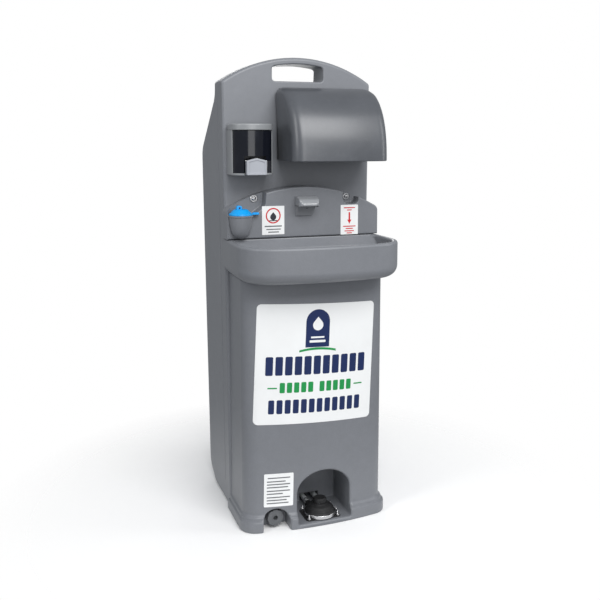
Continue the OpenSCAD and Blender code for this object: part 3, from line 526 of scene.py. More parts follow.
def combine(body, *tools, how="DIFFERENCE"):
    for tool in tools:
        step = body.modifiers.new(how, "BOOLEAN")
        step.operation, step.solver, step.object = how, "EXACT", tool
        settle(body)
        bpy.data.objects.remove(tool)
    bm = bmesh.new()
    bm.from_mesh(body.data)
    bmesh.ops.remove_doubles(bm, verts=bm.verts, dist=2e-6)
    bmesh.ops.dissolve_degenerate(bm, edges=bm.edges, dist=1e-6)
    bm.to_mesh(body.data)
    bm.free()
    return body


def fuse(body, *tools):
    return combine(body, *tools, how="UNION")


def keep(body, *tools):
    return combine(body, *tools, how="INTERSECT")


def round_edges(piece, width, steps=3, pick=None, sharper=30):
    """Rounds the edges that are sharper than an angle and that pick chooses by their middle."""
    bm = bmesh.new()
    bm.from_mesh(piece.data)
    limit = math.radians(sharper)
    edges = [e for e in bm.edges if len(e.link_faces) == 2 and e.calc_face_angle(0) > limit
             and (pick is None or pick(*((e.verts[0].co + e.verts[1].co) / 2 / MM)))]
    bmesh.ops.bevel(bm, geom=edges, offset=width * MM, offset_type="OFFSET", segments=steps,
                    profile=0.5, affect="EDGES", clamp_overlap=False, loop_slide=True,
                    miter_outer="ARC", miter_inner="SHARP")
    bmesh.ops.remove_doubles(bm, verts=bm.verts, dist=2e-6)
    bm.to_mesh(piece.data)
    bm.free()
    return piece


def block(name, low, high, radius=0.8, steps=2):
    piece = prism(name, rectangle(low[0], low[1], high[0], high[1]), "z", low[2], high[2])
    return round_edges(piece, radius, steps) if radius else piece


def turned(piece, degrees, axis, about):
    """Turns a piece's mesh about a point."""
    spot = Vector(about) * MM
    piece.data.transform(Matrix.Translation(spot) @ Matrix.Rotation(math.radians(degrees), 4, axis)
                         @ Matrix.Translation(-spot))
    return piece


def recess(name, outline, back, front, lip=6.0, toe=3.0, reach=60):
    """A solid to cut a pocket along Y with: rounded at its back and flared at its mouth.

    back and front give the floor's and the surface's Y at (x, z).
    """
    quarter = [math.radians(a) for a in (0, 22.5, 45, 67.5, 90)]
    rings = []
    for t in quarter:
        inner = spread(outline, -toe * (1 - math.sin(t)))
        rings.append([(a, back(a, b) - toe * (1 - math.cos(t)), b) for a, b in inner])
    for t in quarter:
        outer = spread(outline, lip * (1 - math.cos(t)))
        rings.append([(a, front(a, b) + lip * (1 - math.sin(t)), b) for a, b in outer])
    outer = spread(outline, lip)
    rings.append([(a, front(a, b) - 0.6, b) for a, b in outer])
    rings.append([(a, front(a, b) - reach, b) for a, b in outer])
    return loft(name, rings)


def show(piece, body, finish, slot, *nodes, sharp=34):
    """Smooths a piece, gives it its finish, and fixes it to a body of the frame."""
    mesh = piece.data
    if finish.name not in [m.name for m in mesh.materials if m]:
        mesh.materials.append(finish)
    mesh.shade_smooth()
    bm = bmesh.new()
    bm.from_mesh(mesh)
    for edge in bm.edges:
        edge.smooth = len(edge.link_faces) == 2 and edge.calc_face_angle(0) < math.radians(sharp)
    bm.to_mesh(mesh)
    bm.free()
    normals = piece.modifiers.new("even_shading", "WEIGHTED_NORMAL")
    normals.keep_sharp = True
    settle(piece)
    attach(piece, body)
    if nodes:
        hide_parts(*nodes)
    return piece


SLOTS = {part["node"]: part["material_slot"] for part in frame["record"]["subparts"]}


def slot_of(node):
    return SLOTS[node]


def level(y):
    """A flat surface at one Y."""
    return lambda x, z: y


# ---------- fresh tank ----------

FOOT_HALF = 226
SHOULDER_DROP = 75
ARCH_R = (PANEL.x1 ** 2 + SHOULDER_DROP ** 2) / (2 * SHOULDER_DROP)
SLOT_HALF = 82
SLOT_LOW = 1333


def panel_outline():
    reach = math.degrees(math.asin(PANEL.x1 / ARCH_R))
    top = arc(0, PANEL.z1 - ARCH_R, ARCH_R, 90 - reach, 90 + reach, 40)
    return rounded([(-FOOT_HALF, 0, 0), (FOOT_HALF, 0, 0), (*top[0], 12),
                    *[(a, b, 0) for a, b in top[1:-1]], (*top[-1], 12)], 4)


def tank_back(x, z):
    """Y of the fresh tank's rear wall below its slope."""
    return PANEL.y1 - 12 * max(0, 1050 - z) / 1008


def tank_profile():
    return rounded([(0, 0, 0), (205, 0, 60), (tank_back(0, 42), 42, 50), (PANEL.y1, 1050, 0),
                    (PANEL.y1, 1128, 60), (95, 1290, 50), (82, 1450, 0), (0, 1450, 0)], 8)


def slot_outline():
    r = ARCH_R - 20
    reach = math.asin((SLOT_HALF - 8) / r)
    low = PANEL.z1 - ARCH_R
    turns = [reach - 2 * reach * i / 14 for i in range(15)]
    side = low + r * math.cos(reach) - 4
    return rounded([(-SLOT_HALF, SLOT_LOW, 10), (SLOT_HALF, SLOT_LOW, 10), (SLOT_HALF, side, 8),
                    *[(r * math.sin(t), low + r * math.cos(t), 0) for t in turns],
                    (-SLOT_HALF, side, 8)], 5)


def fresh_tank():
    tank = keep(prism("fresh_tank_shell", panel_outline(), "y", -20, 330),
                prism("profile", tank_profile(), "x", -270, 270))
    round_edges(tank, 10, 5)
    combine(tank, prism("slot", slot_outline(), "y", -5, 120))
    round_edges(tank, 4.5, 3, lambda x, y, z: abs(x) < SLOT_HALF + 2 and SLOT_LOW - 3 < z < 1390
                and (y < 1 or y > 76))
    for side in (-1, 1):
        outline = rectangle(min(side * 18, side * 176), 170, max(side * 18, side * 176), 985, 34, 7)
        tool = recess("rear_recess", outline, lambda x, z: 7 - tank_back(x, z),
                      lambda x, z: -tank_back(x, z), lip=5, toe=4, reach=20)
        tool.data.transform(Matrix.Scale(-1, 4, (0, 1, 0)))
        tool.data.flip_normals()
        combine(tank, tool)
    show(tank, "root", TANKS, "tank_grey", "fresh_tank")
    # the seam that the two halves of the mould leave round the tank
    seam = []
    for z in (1308, 1200, 1080, 900, 700, 500, 300, 120, 70):
        half = FOOT_HALF + (PANEL.x1 - FOOT_HALF) * z / (PANEL.z1 - SHOULDER_DROP)
        seam.append((half, z))
    for side in (-1, 1):
        line = [(side * (half - 1.15), 58, z) for half, z in seam]
        show(tube("mould_seam_" + ("left" if side < 0 else "right"), line, 1.9, 10),
             "root", TANKS, "tank_grey")


# ---------- waste tank ----------

FLANGE = ((0, 12.2), (1.5, 13.5), (4, 14), (28, 14), (31.5, 13.3), (33.6, 11.4), (34.8, 9), (36.2, 7.5),
          (38.2, 7), (41.5, 6.8), (43.8, 5.8), (45.6, 3.8), (47.2, 1.9), (49.5, 0.6), (53, 0))
FLANGE_SIDE = 0.85
COLUMN_HALF = FRONT.x1 - FLANGE_SIDE * FLANGE[2][1]
COLUMN_DEPTH = 190
FRONT_BOW = 25
FRONT_R = 50
RECESS_X = PUMP.x
RECESS_HALF = 85
RECESS_FLOOR = 12
RECESS_BACK = -48
POCKET_X = PLUG.x
POCKET_HALF = 41
POCKET_BACK = -140


def flange_at(z):
    """How far the base flange stands out at a height."""
    for (z0, g0), (z1, g1) in zip(FLANGE, FLANGE[1:]):
        if z <= z1:
            return g0 + (g1 - g0) * max(0, z - z0) / (z1 - z0)
    return 0


def column_plan(grow):
    return plan(COLUMN_HALF + grow * FLANGE_SIDE, COLUMN_DEPTH + grow, FRONT_BOW, FRONT_R)


def column_front(x, z):
    grow = flange_at(z)
    half = COLUMN_HALF + grow * FLANGE_SIDE
    return -(COLUMN_DEPTH + grow) + FRONT_BOW * (x / half) ** 2


def foot_recess():
    heights = [18 + 3 * i for i in range(15)] + [72, 86]
    x0, x1 = RECESS_X - RECESS_HALF, RECESS_X + RECESS_HALF
    top = [(RECESS_X + RECESS_HALF * math.cos(t), 100 + 67 * math.sin(t))
           for t in (math.pi * i / 28 for i in range(29))]
    outline = rounded([(x0, RECESS_FLOOR, 5), (x1, RECESS_FLOOR, 5), *[(x1, z, 0) for z in heights],
                       *[(*p, 0) for p in top], *[(x0, z, 0) for z in reversed(heights)]], 3)
    return recess("foot_recess", outline, level(RECESS_BACK), column_front, lip=8, toe=4)


def drain_pocket():
    x0, x1 = POCKET_X - POCKET_HALF, POCKET_X + POCKET_HALF
    heights = [0, 8, 16]
    outline = [(x0, -30), (x1, -30), *[(x1, z) for z in heights],
               *arc(POCKET_X, 23, POCKET_HALF, 0, 180, 24), *[(x0, z) for z in reversed(heights)]]
    return recess("drain_pocket", outline, level(POCKET_BACK), column_front, lip=6, toe=3)


def waste_tank():
    top = FRONT.z1
    heights = [*FLANGE, (120, 0), (400, 0), (top - 7, 0), (top - 4.5, -0.6), (top - 2, -2.2), (top, -5)]
    tank = loft("waste_tank_shell", [[(x, y, z) for x, y in column_plan(g)] for z, g in heights])
    combine(tank, foot_recess(), drain_pocket())
    combine(tank, block("hose_tunnel", (-13, -50, RECESS_FLOOR), (50, 1, 37), 0),
            block("hose_channel", (-12, -24, 30), (12, 1, top + 1), 0),
            rod("bush_hole", (POCKET_X, 0, PLUG.z), "y", 22.2, -150, -112),
            rod("drain_hole", DRAIN, "z", 34, 680, top + 2))
    show(tank, "root", COLUMN, "tank_grey", "waste_tank")


# ---------- bowl ----------

DRAIN = (0, -140, 0)

def bowl_plan():
    half, depth, bow, r = BOWL.x1, -BOWL.y0, 32, 108
    return rounded([(-240, 0, 0), (-half, -110, 60), (-half, -depth + bow, r),
                    *bowed(half, depth, bow, half - r), (half, -depth + bow, r), (half, -110, 60),
                    (240, 0, 0)], 12)


def basin_plan():
    half, depth, bow, r = BOWL.x1 - 16, -BOWL.y0 - 16, 30, 92
    return rounded([(-half + 6, -68, 22), (-half, -114, 60), (-half, -depth + bow, r),
                    *bowed(half, depth, bow, half - r), (half, -depth + bow, r), (half, -114, 60),
                    (half - 6, -68, 22)], 12)


def hugging(outline, by):
    """The outline moved outwards, except where it meets the panel at y = 0."""
    return [(a, 0 if was[1] == 0 else b) for (a, b), was in zip(spread(outline, by), outline)]


def bowl():
    under, top, low, lip = 34, BOWL.z1, BOWL.z0, 8
    outer = bowl_plan()
    lower, upper = ([math.radians(step * i) for i in range(90 // step + 1)] for step in (10, 15))
    rings = [(low + under * (1 - math.cos(t)), -under * (1 - math.sin(t))) for t in lower]
    rings += [(top - lip + lip * math.sin(t), -lip * (1 - math.cos(t))) for t in upper]
    shell = loft("bowl_shell", [[(x, y, z) for x, y in hugging(outer, g)] for z, g in rings])
    inner, floor, radius, draft, flare = basin_plan(), low + 7, 30, 1.5, 7
    rings = [(floor + radius * (1 - math.cos(t)), -draft - radius * (1 - math.sin(t))) for t in lower]
    rings += [(top - flare + flare * math.sin(t), flare * (1 - math.cos(t))) for t in upper]
    rings.append((top + 20, flare))
    basin = loft("basin", [[(x, y, z) for x, y in spread(inner, g)] for z, g in rings])
    # the back of the basin slopes forward under the backsplash before it drops
    slope = rounded([(-400, low - 20, 0), (-400, top + 40, 0), (-66, top + 40, 0), (-66, top - 1.5, 8),
                     (-97, top - 26, 12), (-109, low + 24, 14), (-126, floor - 1, 16),
                     (-126, low - 20, 0)], 6)
    keep(basin, prism("basin_back", slope, "x", -300, 300))
    combine(shell, basin)
    combine(shell, lathe("drain_seat", [(0, floor + 2), (31.5, floor + 2), (31.5, floor), (30, floor - 1.6),
                                        (0, floor - 1.6)], DRAIN, steps=64),
            rod("drain", DRAIN, "z", 16.6, low - 5, floor + 3, steps=48),
            block("hose_way", (-12, -24, low - 1), (12, 1, top + 1), 0))
    show(shell, "root", TANKS, "tank_grey", "bowl")


def strainer():
    seat = BOWL.z0 + 5.2
    disc = lathe("strainer_disc", [(0, seat - 2.6), (8, seat - 2.4), (15.5, seat - 0.6), (28.6, seat),
                                   (29.4, seat + 0.7), (28.6, seat + 1.5), (17, seat + 1.3),
                                   (14, seat + 0.1), (8, seat - 1.1), (0, seat - 1.3)],
                 DRAIN, steps=64)
    holes = [rod("hole", (9.6 * math.cos(t), -140 + 9.6 * math.sin(t), 0), "z", 2.3, seat - 8, seat + 8,
                 steps=16) for t in (math.pi / 4 * i for i in range(8))]
    holes.append(rod("hole", DRAIN, "z", 2.3, seat - 8, seat + 8, steps=16))
    combine(disc, *holes)
    show(disc, "root", STEEL, "stainless", "bowl_strainer")


# ---------- backsplash ----------

SPLASH_FRONT = -64
CUP_X, CUP_Y, CUP_Z = -204, -74, 936
SCREW_X, SCREW_Z = 150, 981


def splash_outline():
    half, low = SPLASH.x1, BOWL.z1 + 1.6
    crown, side = SPLASH.z1, SPLASH.z1 - 68
    rise = crown - side
    r = (half ** 2 + rise ** 2) / (2 * rise)
    reach = math.asin((half - 14) / r)
    turns = [reach - 2 * reach * i / 30 for i in range(31)]
    return rounded([(-half, low, 0), (half, low, 0), (half, side + 1, 20),
                    *[(r * math.sin(t), crown - r + r * math.cos(t), 0) for t in turns[1:-1]],
                    (-half, side + 1, 20)], 8)


def backsplash():
    front = SPLASH_FRONT
    plate = prism("backsplash_plate", splash_outline(), "y", front, 0)
    round_edges(plate, 5, 4, lambda x, y, z: y < front + 1)
    right = rounded([(SCREW_X - 25, SCREW_Z - 21, 19), (SCREW_X + 24, SCREW_Z - 21, 14),
                     (SCREW_X + 44, 1075, 0), (SCREW_X - 28, 1075, 0)], 7)
    left = rounded([(CUP_X, CUP_Z, 0), (CUP_X + 46, CUP_Z, 12), (-SCREW_X + 25, SCREW_Z - 21, 22),
                    (-SCREW_X + 34, 1075, 0), (CUP_X - 20, 1075, 0)], 7)
    combine(plate, recess("right_pocket", right, level(-24), level(front), lip=3.5, toe=4),
            recess("left_pocket", left, level(-24), level(front), lip=3.5, toe=4))
    centre = (CUP_X, CUP_Y, 0)
    fuse(plate, lathe("cup", [(0, 867), (7, 867.6), (14, 870), (20, 874.4), (25, 881.5), (28.6, 891),
                              (31.2, 903), (33.2, 916), (34.6, 928), (35, 930.9), (36.6, 932),
                              (37.3, 934), (36.9, 935.6), (35.8, 936.2), (0, 936.2)], centre, steps=72))
    combine(plate, lathe("cup_inside", [(0, 872), (6, 872.6), (10, 875), (12, 879), (30.4, 926.5),
                                        (31.6, 931), (33, 935), (34, 938), (34, 960), (0, 960)],
                         centre, steps=72),
            lathe("cap_room", [(0, 936.6), (37.2, 936.6), (38, 937.4), (38.4, 1080), (0, 1080)], centre,
                  steps=72))
    for x in (-SCREW_X, SCREW_X):
        combine(plate, lathe("screw_seat", [(0, -30), (14.2, -30), (14.2, -24.6), (13.2, -22.6), (0, -22.6)],
                             (x, 0, SCREW_Z), "y", 40))
    show(plate, "root", TANKS, "tank_grey", "backsplash")


def cross_screw(name, centre, head_y, radius, shank, length):
    """A pan-head screw whose head faces the front."""
    x, _, z = centre
    h = radius * 0.72
    screw = lathe(name, [(0, -h), (radius * 0.45, -h * 0.96), (radius * 0.8, -h * 0.72),
                         (radius * 0.98, -h * 0.3), (radius, 0), (shank, 0), (shank, length), (0, length)],
                  (x, head_y, z), "y", 40)
    arm, half = radius * 0.62, radius * 0.13
    for a, b in ((arm, half), (half, arm)):
        combine(screw, block("cross", (x - a, head_y - h - 2, z - b), (x + a, head_y - h * 0.35, z + b), 0))
    return turned(screw, 24, "Y", (x, 0, z))


def splash_fixings():
    screws = [cross_screw("screw", (x, 0, SCREW_Z), -25.4, 6.5, 3, 26) for x in (-SCREW_X, SCREW_X)]
    show(join("splash_screw_pair", *screws), "root", STEEL, "stainless", "splash_screws")
    washers = [lathe("washer", [(3.1, -25.3), (10.4, -25.3), (11, -24.8), (11, -24.1), (3.1, -24.1)],
                     (x, 0, SCREW_Z), "y", 40) for x in (-SCREW_X, SCREW_X)]
    show(join("splash_washer_pair", *washers), "root", STEEL, "stainless", "splash_washers")


# ---------- tap and filler ----------

TAP_Z = 955
TAP_HALF = 32


def tap():
    front, tip = SPLASH_FRONT, SPLASH_FRONT - 50
    side = rounded([(front + 0.5, TAP_Z - 27, 0), (front + 0.5, TAP_Z + 33, 0), (front - 20, TAP_Z + 33, 12),
                    (front - 40, TAP_Z + 25.5, 14), (tip, TAP_Z + 11, 10), (tip, TAP_Z + 5, 0),
                    (front - 22, TAP_Z + 1.5, 0), (front - 4, TAP_Z - 27, 0)], 6)
    hood = prism("tap_hood", side, "x", -TAP_HALF, TAP_HALF)
    from_above = rounded([(-TAP_HALF, front + 5, 0), (-TAP_HALF, tip, 15), (TAP_HALF, tip, 15),
                          (TAP_HALF, front + 5, 0)], 8)
    keep(hood, prism("tap_plan", from_above, "z", 900, 1010))
    lower = rounded([(-TAP_HALF + 1, TAP_Z - 30, 0), (TAP_HALF - 9, TAP_Z - 30, 0),
                     (TAP_HALF - 4, TAP_Z + 4.5, 0), (TAP_HALF + 6, TAP_Z + 4.5, 0),
                     (TAP_HALF + 6, TAP_Z + 60, 0), (-TAP_HALF - 6, TAP_Z + 60, 0),
                     (-TAP_HALF - 6, TAP_Z + 4.5, 0), (-TAP_HALF + 1, TAP_Z + 4.5, 0)], 3)
    keep(hood, prism("tap_front", lower, "y", -140, -20))
    round_edges(hood, 2.4, 3, lambda x, y, z: y < front)
    combine(hood, block("water_way", (-24, tip + 7, TAP_Z - 8), (24, front - 15, TAP_Z + 13), 3),
            rod("shank_bore", (0, 0, TAP_Z), "y", 4, front - 20, 0))
    fuse(hood, lathe("shank", [(4, front - 1), (10, front - 1), (10, -43), (4, -43)], (0, 0, TAP_Z), "y", 40))
    # the tap's grey is lighter than the tanks' grey: painted highlight
    show(hood, "root", TAP_GREY_PAINTED_HIGHLIGHT, "tank_grey", "faucet_spout")


def filler_cap():
    x, y, z = CUP_X, CUP_Y, CUP_Z
    cap = lathe("filler_cap", [(0, z + 3), (22.6, z + 3), (23, z - 9.4), (23.6, z - 10), (25.6, z - 10),
                               (26, z - 9), (26, z + 0.3), (34.3, z + 0.3), (35, z + 1), (35, z + 4),
                               (34.3, z + 5.1), (32.8, z + 5.7), (31.4, z + 7), (22, z + 16),
                               (20, z + 17.4), (17.5, z + 18), (0, z + 18.2)], (x, y, 0), steps=96)
    lug = rounded([(x - 15, z + 10, 0), (x + 3, z + 10, 0), (x + 3, z + 29, 6.5), (x - 13, z + 29, 6.5)], 5)
    fuse(cap, round_edges(prism("lug", lug, "y", y - 7, y + 7), 1.6, 2))
    tab = rounded([(x + 28, y - 7, 0), (x + 57, y - 7, 6), (x + 57, y + 7, 6), (x + 28, y + 7, 0)], 5)
    fuse(cap, round_edges(prism("tab", tab, "z", z + 1, z + 5), 1, 2))
    for at in (41, 50):
        fuse(cap, lathe("eyelet", [(0, z + 1.2), (5.6, z + 1.2), (5.6, z + 6.4), (4.6, z + 7.6),
                              (0, z + 7.6)],
                        (x + at, y, 0), steps=28))
    combine(cap, rod("lug_hole", (x - 5, 0, z + 22), "y", 3.1, y - 12, y + 12, steps=20),
            *[rod("eye", (x + at, y, 0), "z", 2.5, z - 2, z + 12, steps=20) for at in (41, 50)])
    combine(cap, lathe("dimple", [(0, z + 15), (3.4, z + 15), (3.4, z + 20), (0, z + 20)],
                       (x + 11, y - 5, 0), steps=20))
    show(cap, "fill_cap", BLUE, "cap_blue", "fill_cap")


# ---------- labels ----------

THICK = 0.8
PRINT = THICK + 0.25


def on_front(name, shapes, centre, lean, rise):
    """Flat shapes wrapped on the waste tank's bowed front, rise millimetres above it."""
    outer, inner = (plan(COLUMN_HALF + out, COLUMN_DEPTH + out, FRONT_BOW, FRONT_R + out)
                    for out in (rise, max(0, rise - THICK)))
    sheet = prism(name, outer, "z", centre[1] - 260, centre[1] + 260)
    combine(sheet, prism("inner_side", inner, "z", centre[1] - 270, centre[1] + 270))
    solids = []
    for shape in shapes:
        spun = Matrix.Rotation(math.radians(-lean), 2)
        spots = [spun @ Vector(p) for p in shape]
        solids.append(prism("cut", [(centre[0] + p.x, centre[1] + p.y) for p in spots], "y", -260, -120))
    return keep(sheet, join("cuts", *solids))


def on_splash(name, shapes, centre, rise):
    """Flat shapes on the backsplash, their face rise millimetres in front of it."""
    y = SPLASH_FRONT - rise
    solids = [prism("flat", [(centre[0] + a, centre[1] + b) for a, b in shape], "y", y, y + THICK)
              for shape in shapes]
    return join(name, *solids)


def ring_shape(a, b, outer, inner, steps=40):
    """A ring as two half rings, so that each is a plain outline."""
    halves = []
    for start in (0, 180):
        halves.append(arc(a, b, outer, start, start + 180, steps // 2)
                      + arc(a, b, inner, start + 180, start, steps // 2))
    return halves


def drop_shape(a, b, size, steps=22):
    """A water drop with its point up."""
    return [(a, b + size * 1.55), *arc(a, b, size, 38, -218, steps)]


def blocks_row(a0, a1, b0, b1, count, gap, radius=2.5):
    """A row of plain blocks."""
    width = (a1 - a0 - gap * (count - 1)) / count
    return [rectangle(a0 + i * (width + gap), b0, a0 + i * (width + gap) + width, b1, radius, 3)
            for i in range(count)]


def front_label():
    centre, lean = (-8, 501.5), 2.2
    half, high = 184, 180
    show(on_front("front_label_sheet", [rectangle(-half, -high, half, high, 13, 6)], centre, lean, THICK),
         "root", LABEL, "label_white", "front_label", sharp=50)
    # a plain sign: a drop over two bars in an arch, a curved ground line and rows of blocks
    arch = [(-37, 50), (37, 50), *arc(0, 126, 37, 0, 180, 20)]
    rows = blocks_row(-154, 158, -32, 24, 11, 7, 4) + blocks_row(-142, 146, -148, -106, 12, 7, 4)
    show(on_front("front_label_blocks", [arch] + rows, centre, lean, PRINT),
         "root", NAVY, "label_white")
    marks = [drop_shape(0, 116, 16), rectangle(-25, 64, 25, 71, 2, 3), rectangle(-21, 77, 21, 82, 1, 3)]
    show(on_front("front_label_drop", marks, centre, lean, THICK + 0.5), "root", LABEL, "label_white")
    ground = arc(2, -187, 236, 104, 76, 20) + arc(2, -223, 265, 77.5, 102.5, 20)
    green = [ground, rectangle(-146, -72, -118, -68, 1, 3), rectangle(124, -72, 152, -68, 1, 3)]
    green += blocks_row(-110, -8, -85, -54, 5, 6, 3) + blocks_row(12, 114, -85, -54, 5, 6, 3)
    show(on_front("front_label_green", green, centre, lean, PRINT), "root", GREEN, "label_white")


def service_label():
    centre, lean = (-124, 124), 1
    show(on_front("service_label_sheet", [rectangle(-44, -51, 44, 51, 3, 4)], centre, lean, THICK),
         "root", LABEL, "label_white", "service_label", sharp=50)
    bars = []
    for b, left, right in ((38, -34, 34), (27, -36, 20), (18, -36, 34), (9, -36, 28), (-2, -36, 34),
                           (-11, -36, 12), (-22, -36, 34), (-31, -36, 24), (-40, -36, 30)):
        bars.append(rectangle(left, b - 1.7, right, b + 1.7, 1.2, 2))
    show(on_front("service_label_bars", bars, centre, lean, PRINT), "root", GREY_INK, "label_white")


def splash_labels():
    left, right = (-101, 917), (146, 911)
    show(on_splash("splash_label_sheet", [rectangle(-35, -43, 35, 43, 1.5, 3)], left, THICK),
         "root", LABEL, "label_white", "splash_label", sharp=50)
    show(on_splash("splash_label_ring", ring_shape(0, 14, 23.5, 19.6), left, PRINT),
         "root", RED, "label_white")
    marks = [drop_shape(0, 10, 9.5), rectangle(-13, 0.5, 13, -2.2, 1, 2)[::-1]]
    show(on_splash("splash_label_drop", marks, left, PRINT), "root", DARK_INK, "label_white")
    bars = [rectangle(-27, -19.6, 27, -15.8, 1.5, 3), rectangle(-22, -28.6, 24, -25.4, 1.5, 3),
            rectangle(-16, -37, 18, -33.6, 1.5, 3)]
    show(on_splash("splash_label_bars", bars, left, PRINT), "root", GREY_INK, "label_white")
    show(on_splash("towel_label_sheet", [rectangle(-29, -46, 29, 46, 1.5, 3)], right, THICK),
         "root", LABEL, "label_white", "towel_label", sharp=50)
    arrow = [(-2.6, 23), (2.6, 23), (2.6, 0), (7, 0), (0, -13), (-7, 0), (-2.6, 0)]
    bars = [rectangle(-w, b - 1.5, w, b + 1.5, 1.2, 2)
            for b, w in ((37, 19), (30, 8), (-20.5, 21), (-27.5, 12), (-35, 16), (-41.5, 9))]
    show(on_splash("towel_label_arrow", [arrow] + bars, right, PRINT), "root", RED, "label_white")


# ---------- foot pump ----------

def at_pump(z=0):
    return (PUMP.x, PUMP.y, z)


def pump():
    x, y = PUMP.x, PUMP.y
    base = prism("pump_plate", rectangle(x - 56, y - 40, x + 56, y + 40, 12, 5), "z", 12, 15)
    round_edges(base, 1, 2)
    fuse(base, lathe("pump_cup", [(38.5, 15), (41.5, 15), (41.5, 24), (38.5, 24)], at_pump(), steps=96),
         block("tongue", (x - 27, y + 38, 12), (x + 27, y + 63, 15), 0))
    for side in (-19, 19):
        fuse(base, block("barb_foot", (x + side - 7, y + 51, 12), (x + side + 7, y + 61, 31), 1))
        ridges = [(0, 57)]
        for i in range(5):
            ridges += [(5.3, 60 + 4.6 * i), (4.6, 64.2 + 4.6 * i)]
        fuse(base, lathe("barb", ridges + [(5.3, 84), (3.6, 86), (3.6, 70), (0, 70)],
                         (x + side, y, 24), "y", 32))
    show(base, "root", RUBBER, "black_rubber", "pump_base")
    folds = [(47, 15), (47, 24.6), (46.8, 25.8), (46.2, 26.8), (45, 28), (43.6, 29.4), (42.9, 31),
             (42.4, 33.2), (41.8, 35), (40.4, 36.6), (38.4, 37.9), (37.2, 39), (36.4, 40.4), (35.2, 42.2),
             (33, 43.6), (29, 45), (25.4, 46.4), (23.2, 47.4), (21.4, 48.8), (20.2, 50), (0, 50), (0, 47),
             (19, 47), (23, 44.5), (34, 40.5), (39, 34.5), (42.5, 26), (42.5, 15)]
    bellows = lathe("pump_folds", folds, at_pump(), steps=128)
    show(bellows, "root", RUBBER, "black_rubber", "pump_bellows", sharp=60)
    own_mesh(bellows)
    button = lathe("pump_knob", [(0, 50), (16.6, 50), (18.4, 50.6), (19.6, 52), (20, 54), (20, 61),
                                 (19.6, 63), (18.4, 64.6), (16.6, 65.5), (14.6, 65.9), (13.2, 65.6),
                                 (12.2, 64.9), (9, 64.7), (0, 64.6)], at_pump(), steps=72)
    grips = [rod("grip", (x + 22.1 * math.cos(t), y + 22.1 * math.sin(t), 0), "z", 3, 52, 63, steps=16)
             for t in (math.pi / 8 * i for i in range(16))]
    combine(button, *grips)
    show(button, "pump_button", RUBBER, "black_rubber", "pump_button")
    spring = tube("pump_coil", coil_path(at_pump(16.5), 16.5, 1.2, 4, 30.2, "z"), 1.2, 10)
    show(spring, "root", SPRING, "stainless", "pump_spring")
    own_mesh(spring)


def coil_path(centre, radius, wire, turns, height, axis, per_turn=32):
    points = []
    for i in range(turns * per_turn + 1):
        t = 2 * math.pi * i / per_turn
        rise = wire + (height - 2 * wire) * i / (turns * per_turn)
        a, b = radius * math.cos(t), radius * math.sin(t)
        if axis == "z":
            points.append((centre[0] + a, centre[1] + b, centre[2] + rise))
        else:
            points.append((centre[0] + a, centre[1] + rise, centre[2] - b))
    return points


def pump_metal():
    x, y = PUMP.x, PUMP.y
    band = lathe("clamp_band", [(47.2, 16.4), (48.9, 16), (49.2, 16.4), (49.2, 25.6), (48.9, 26),
                                (47.2, 25.6)], at_pump(), steps=128)
    show(band, "root", STEEL, "stainless", "clamp_ring")
    ears = [block("ear", (x + 49, y - 7, 17), (x + 56.2, y - 4.4, 25), 0.8),
            block("ear", (x + 49, y + 4.4, 17), (x + 56.2, y + 7, 25), 0.8),
            rod("ear_screw", (x + 53.2, 0, 21), "y", 2, y - 4.6, y + 4.6, steps=24),
            rod("ear_screw_head", (x + 53.2, 0, 21), "y", 3.1, y - 8.6, y - 7, 0.5, steps=24)]
    show(join("clamp_ears", *ears), "root", STEEL, "stainless", "clamp_screw")
    studs, nuts = [], []
    for dx in (-46, 46):
        for dy in (-32, 32):
            turns = []
            for i in range(18):
                turns += [(3, 5 + 1.35 * i), (2.6, 5.7 + 1.35 * i)]
            studs.append(lathe("stud", [(0, 4)] + turns + [(2.5, 29.4), (1.9, 30), (0, 30)],
                               (x + dx, y + dy, 0), steps=24))
            six = [(x + dx + 6.3 * math.cos(math.pi / 3 * i), y + dy + 6.3 * math.sin(math.pi / 3 * i))
                   for i in range(6)]
            nut = prism("nut", six, "z", 15, 20)
            keep(nut, lathe("nut_round", [(0, 15), (5.7, 15), (6.4, 15.5), (6.4, 19.5), (5.7, 20), (0, 20)],
                            (x + dx, y + dy, 0), steps=36))
            nuts.append(combine(nut, rod("nut_hole", (x + dx, y + dy, 0), "z", 3.05, 14, 21, steps=24)))
    show(join("pump_stud_set", *studs), "root", STEEL, "stainless", "pump_studs")
    show(join("pump_nut_set", *nuts), "root", STEEL, "stainless", "pump_nuts")


# ---------- waste drain ----------

def drain():
    x, z = PLUG.x, PLUG.z
    plug = lathe("drain_plug_body", [(0, -172), (22.6, -172), (24.2, -171.4), (25, -169.8), (25, -153.4),
                                     (24.4, -152), (18.9, -152), (18.9, -148)] +
                 [p for i in range(5) for p in ((18.9, -147 + 4 * i), (17.9, -145 + 4 * i))] +
                 [(17.6, -126.4), (17, -126), (15, -126), (15, -146), (0, -146)], (x, 0, z), "y", 72)
    grooves = [rod("groove", (x + 26.5 * math.cos(t), 0, z + 26.5 * math.sin(t)), "y", 3.5, -180, -154,
                   steps=20) for t in (math.radians(22.5 + 45 * i) for i in range(8))]
    six = [(x + 8 * math.cos(math.pi / 3 * i), z + 8 * math.sin(math.pi / 3 * i)) for i in range(6)]
    combine(plug, prism("key_socket", six, "y", -180, -158), *grooves)
    combine(plug, lathe("face_dish", [(0, -175), (21, -175), (20, -170.6), (10.6, -170.6), (10, -172.6),
                                      (0, -172.6)], (x, 0, z), "y", 64))
    show(plug, "drain_plug", PLUG_GREY, slot_of("drain_plug"), "drain_plug", "plug_thread")
    bush = lathe("drain_bush", [(19, -148), (25.2, -148), (26, -147.2), (26, -140.4), (21.9, -140),
                                (21.9, -116), (19, -116)], (x, 0, z), "y", 72)
    show(bush, "root", DARK, slot_of("drain_bushing"), "drain_bushing")


# ---------- towel dispenser ----------

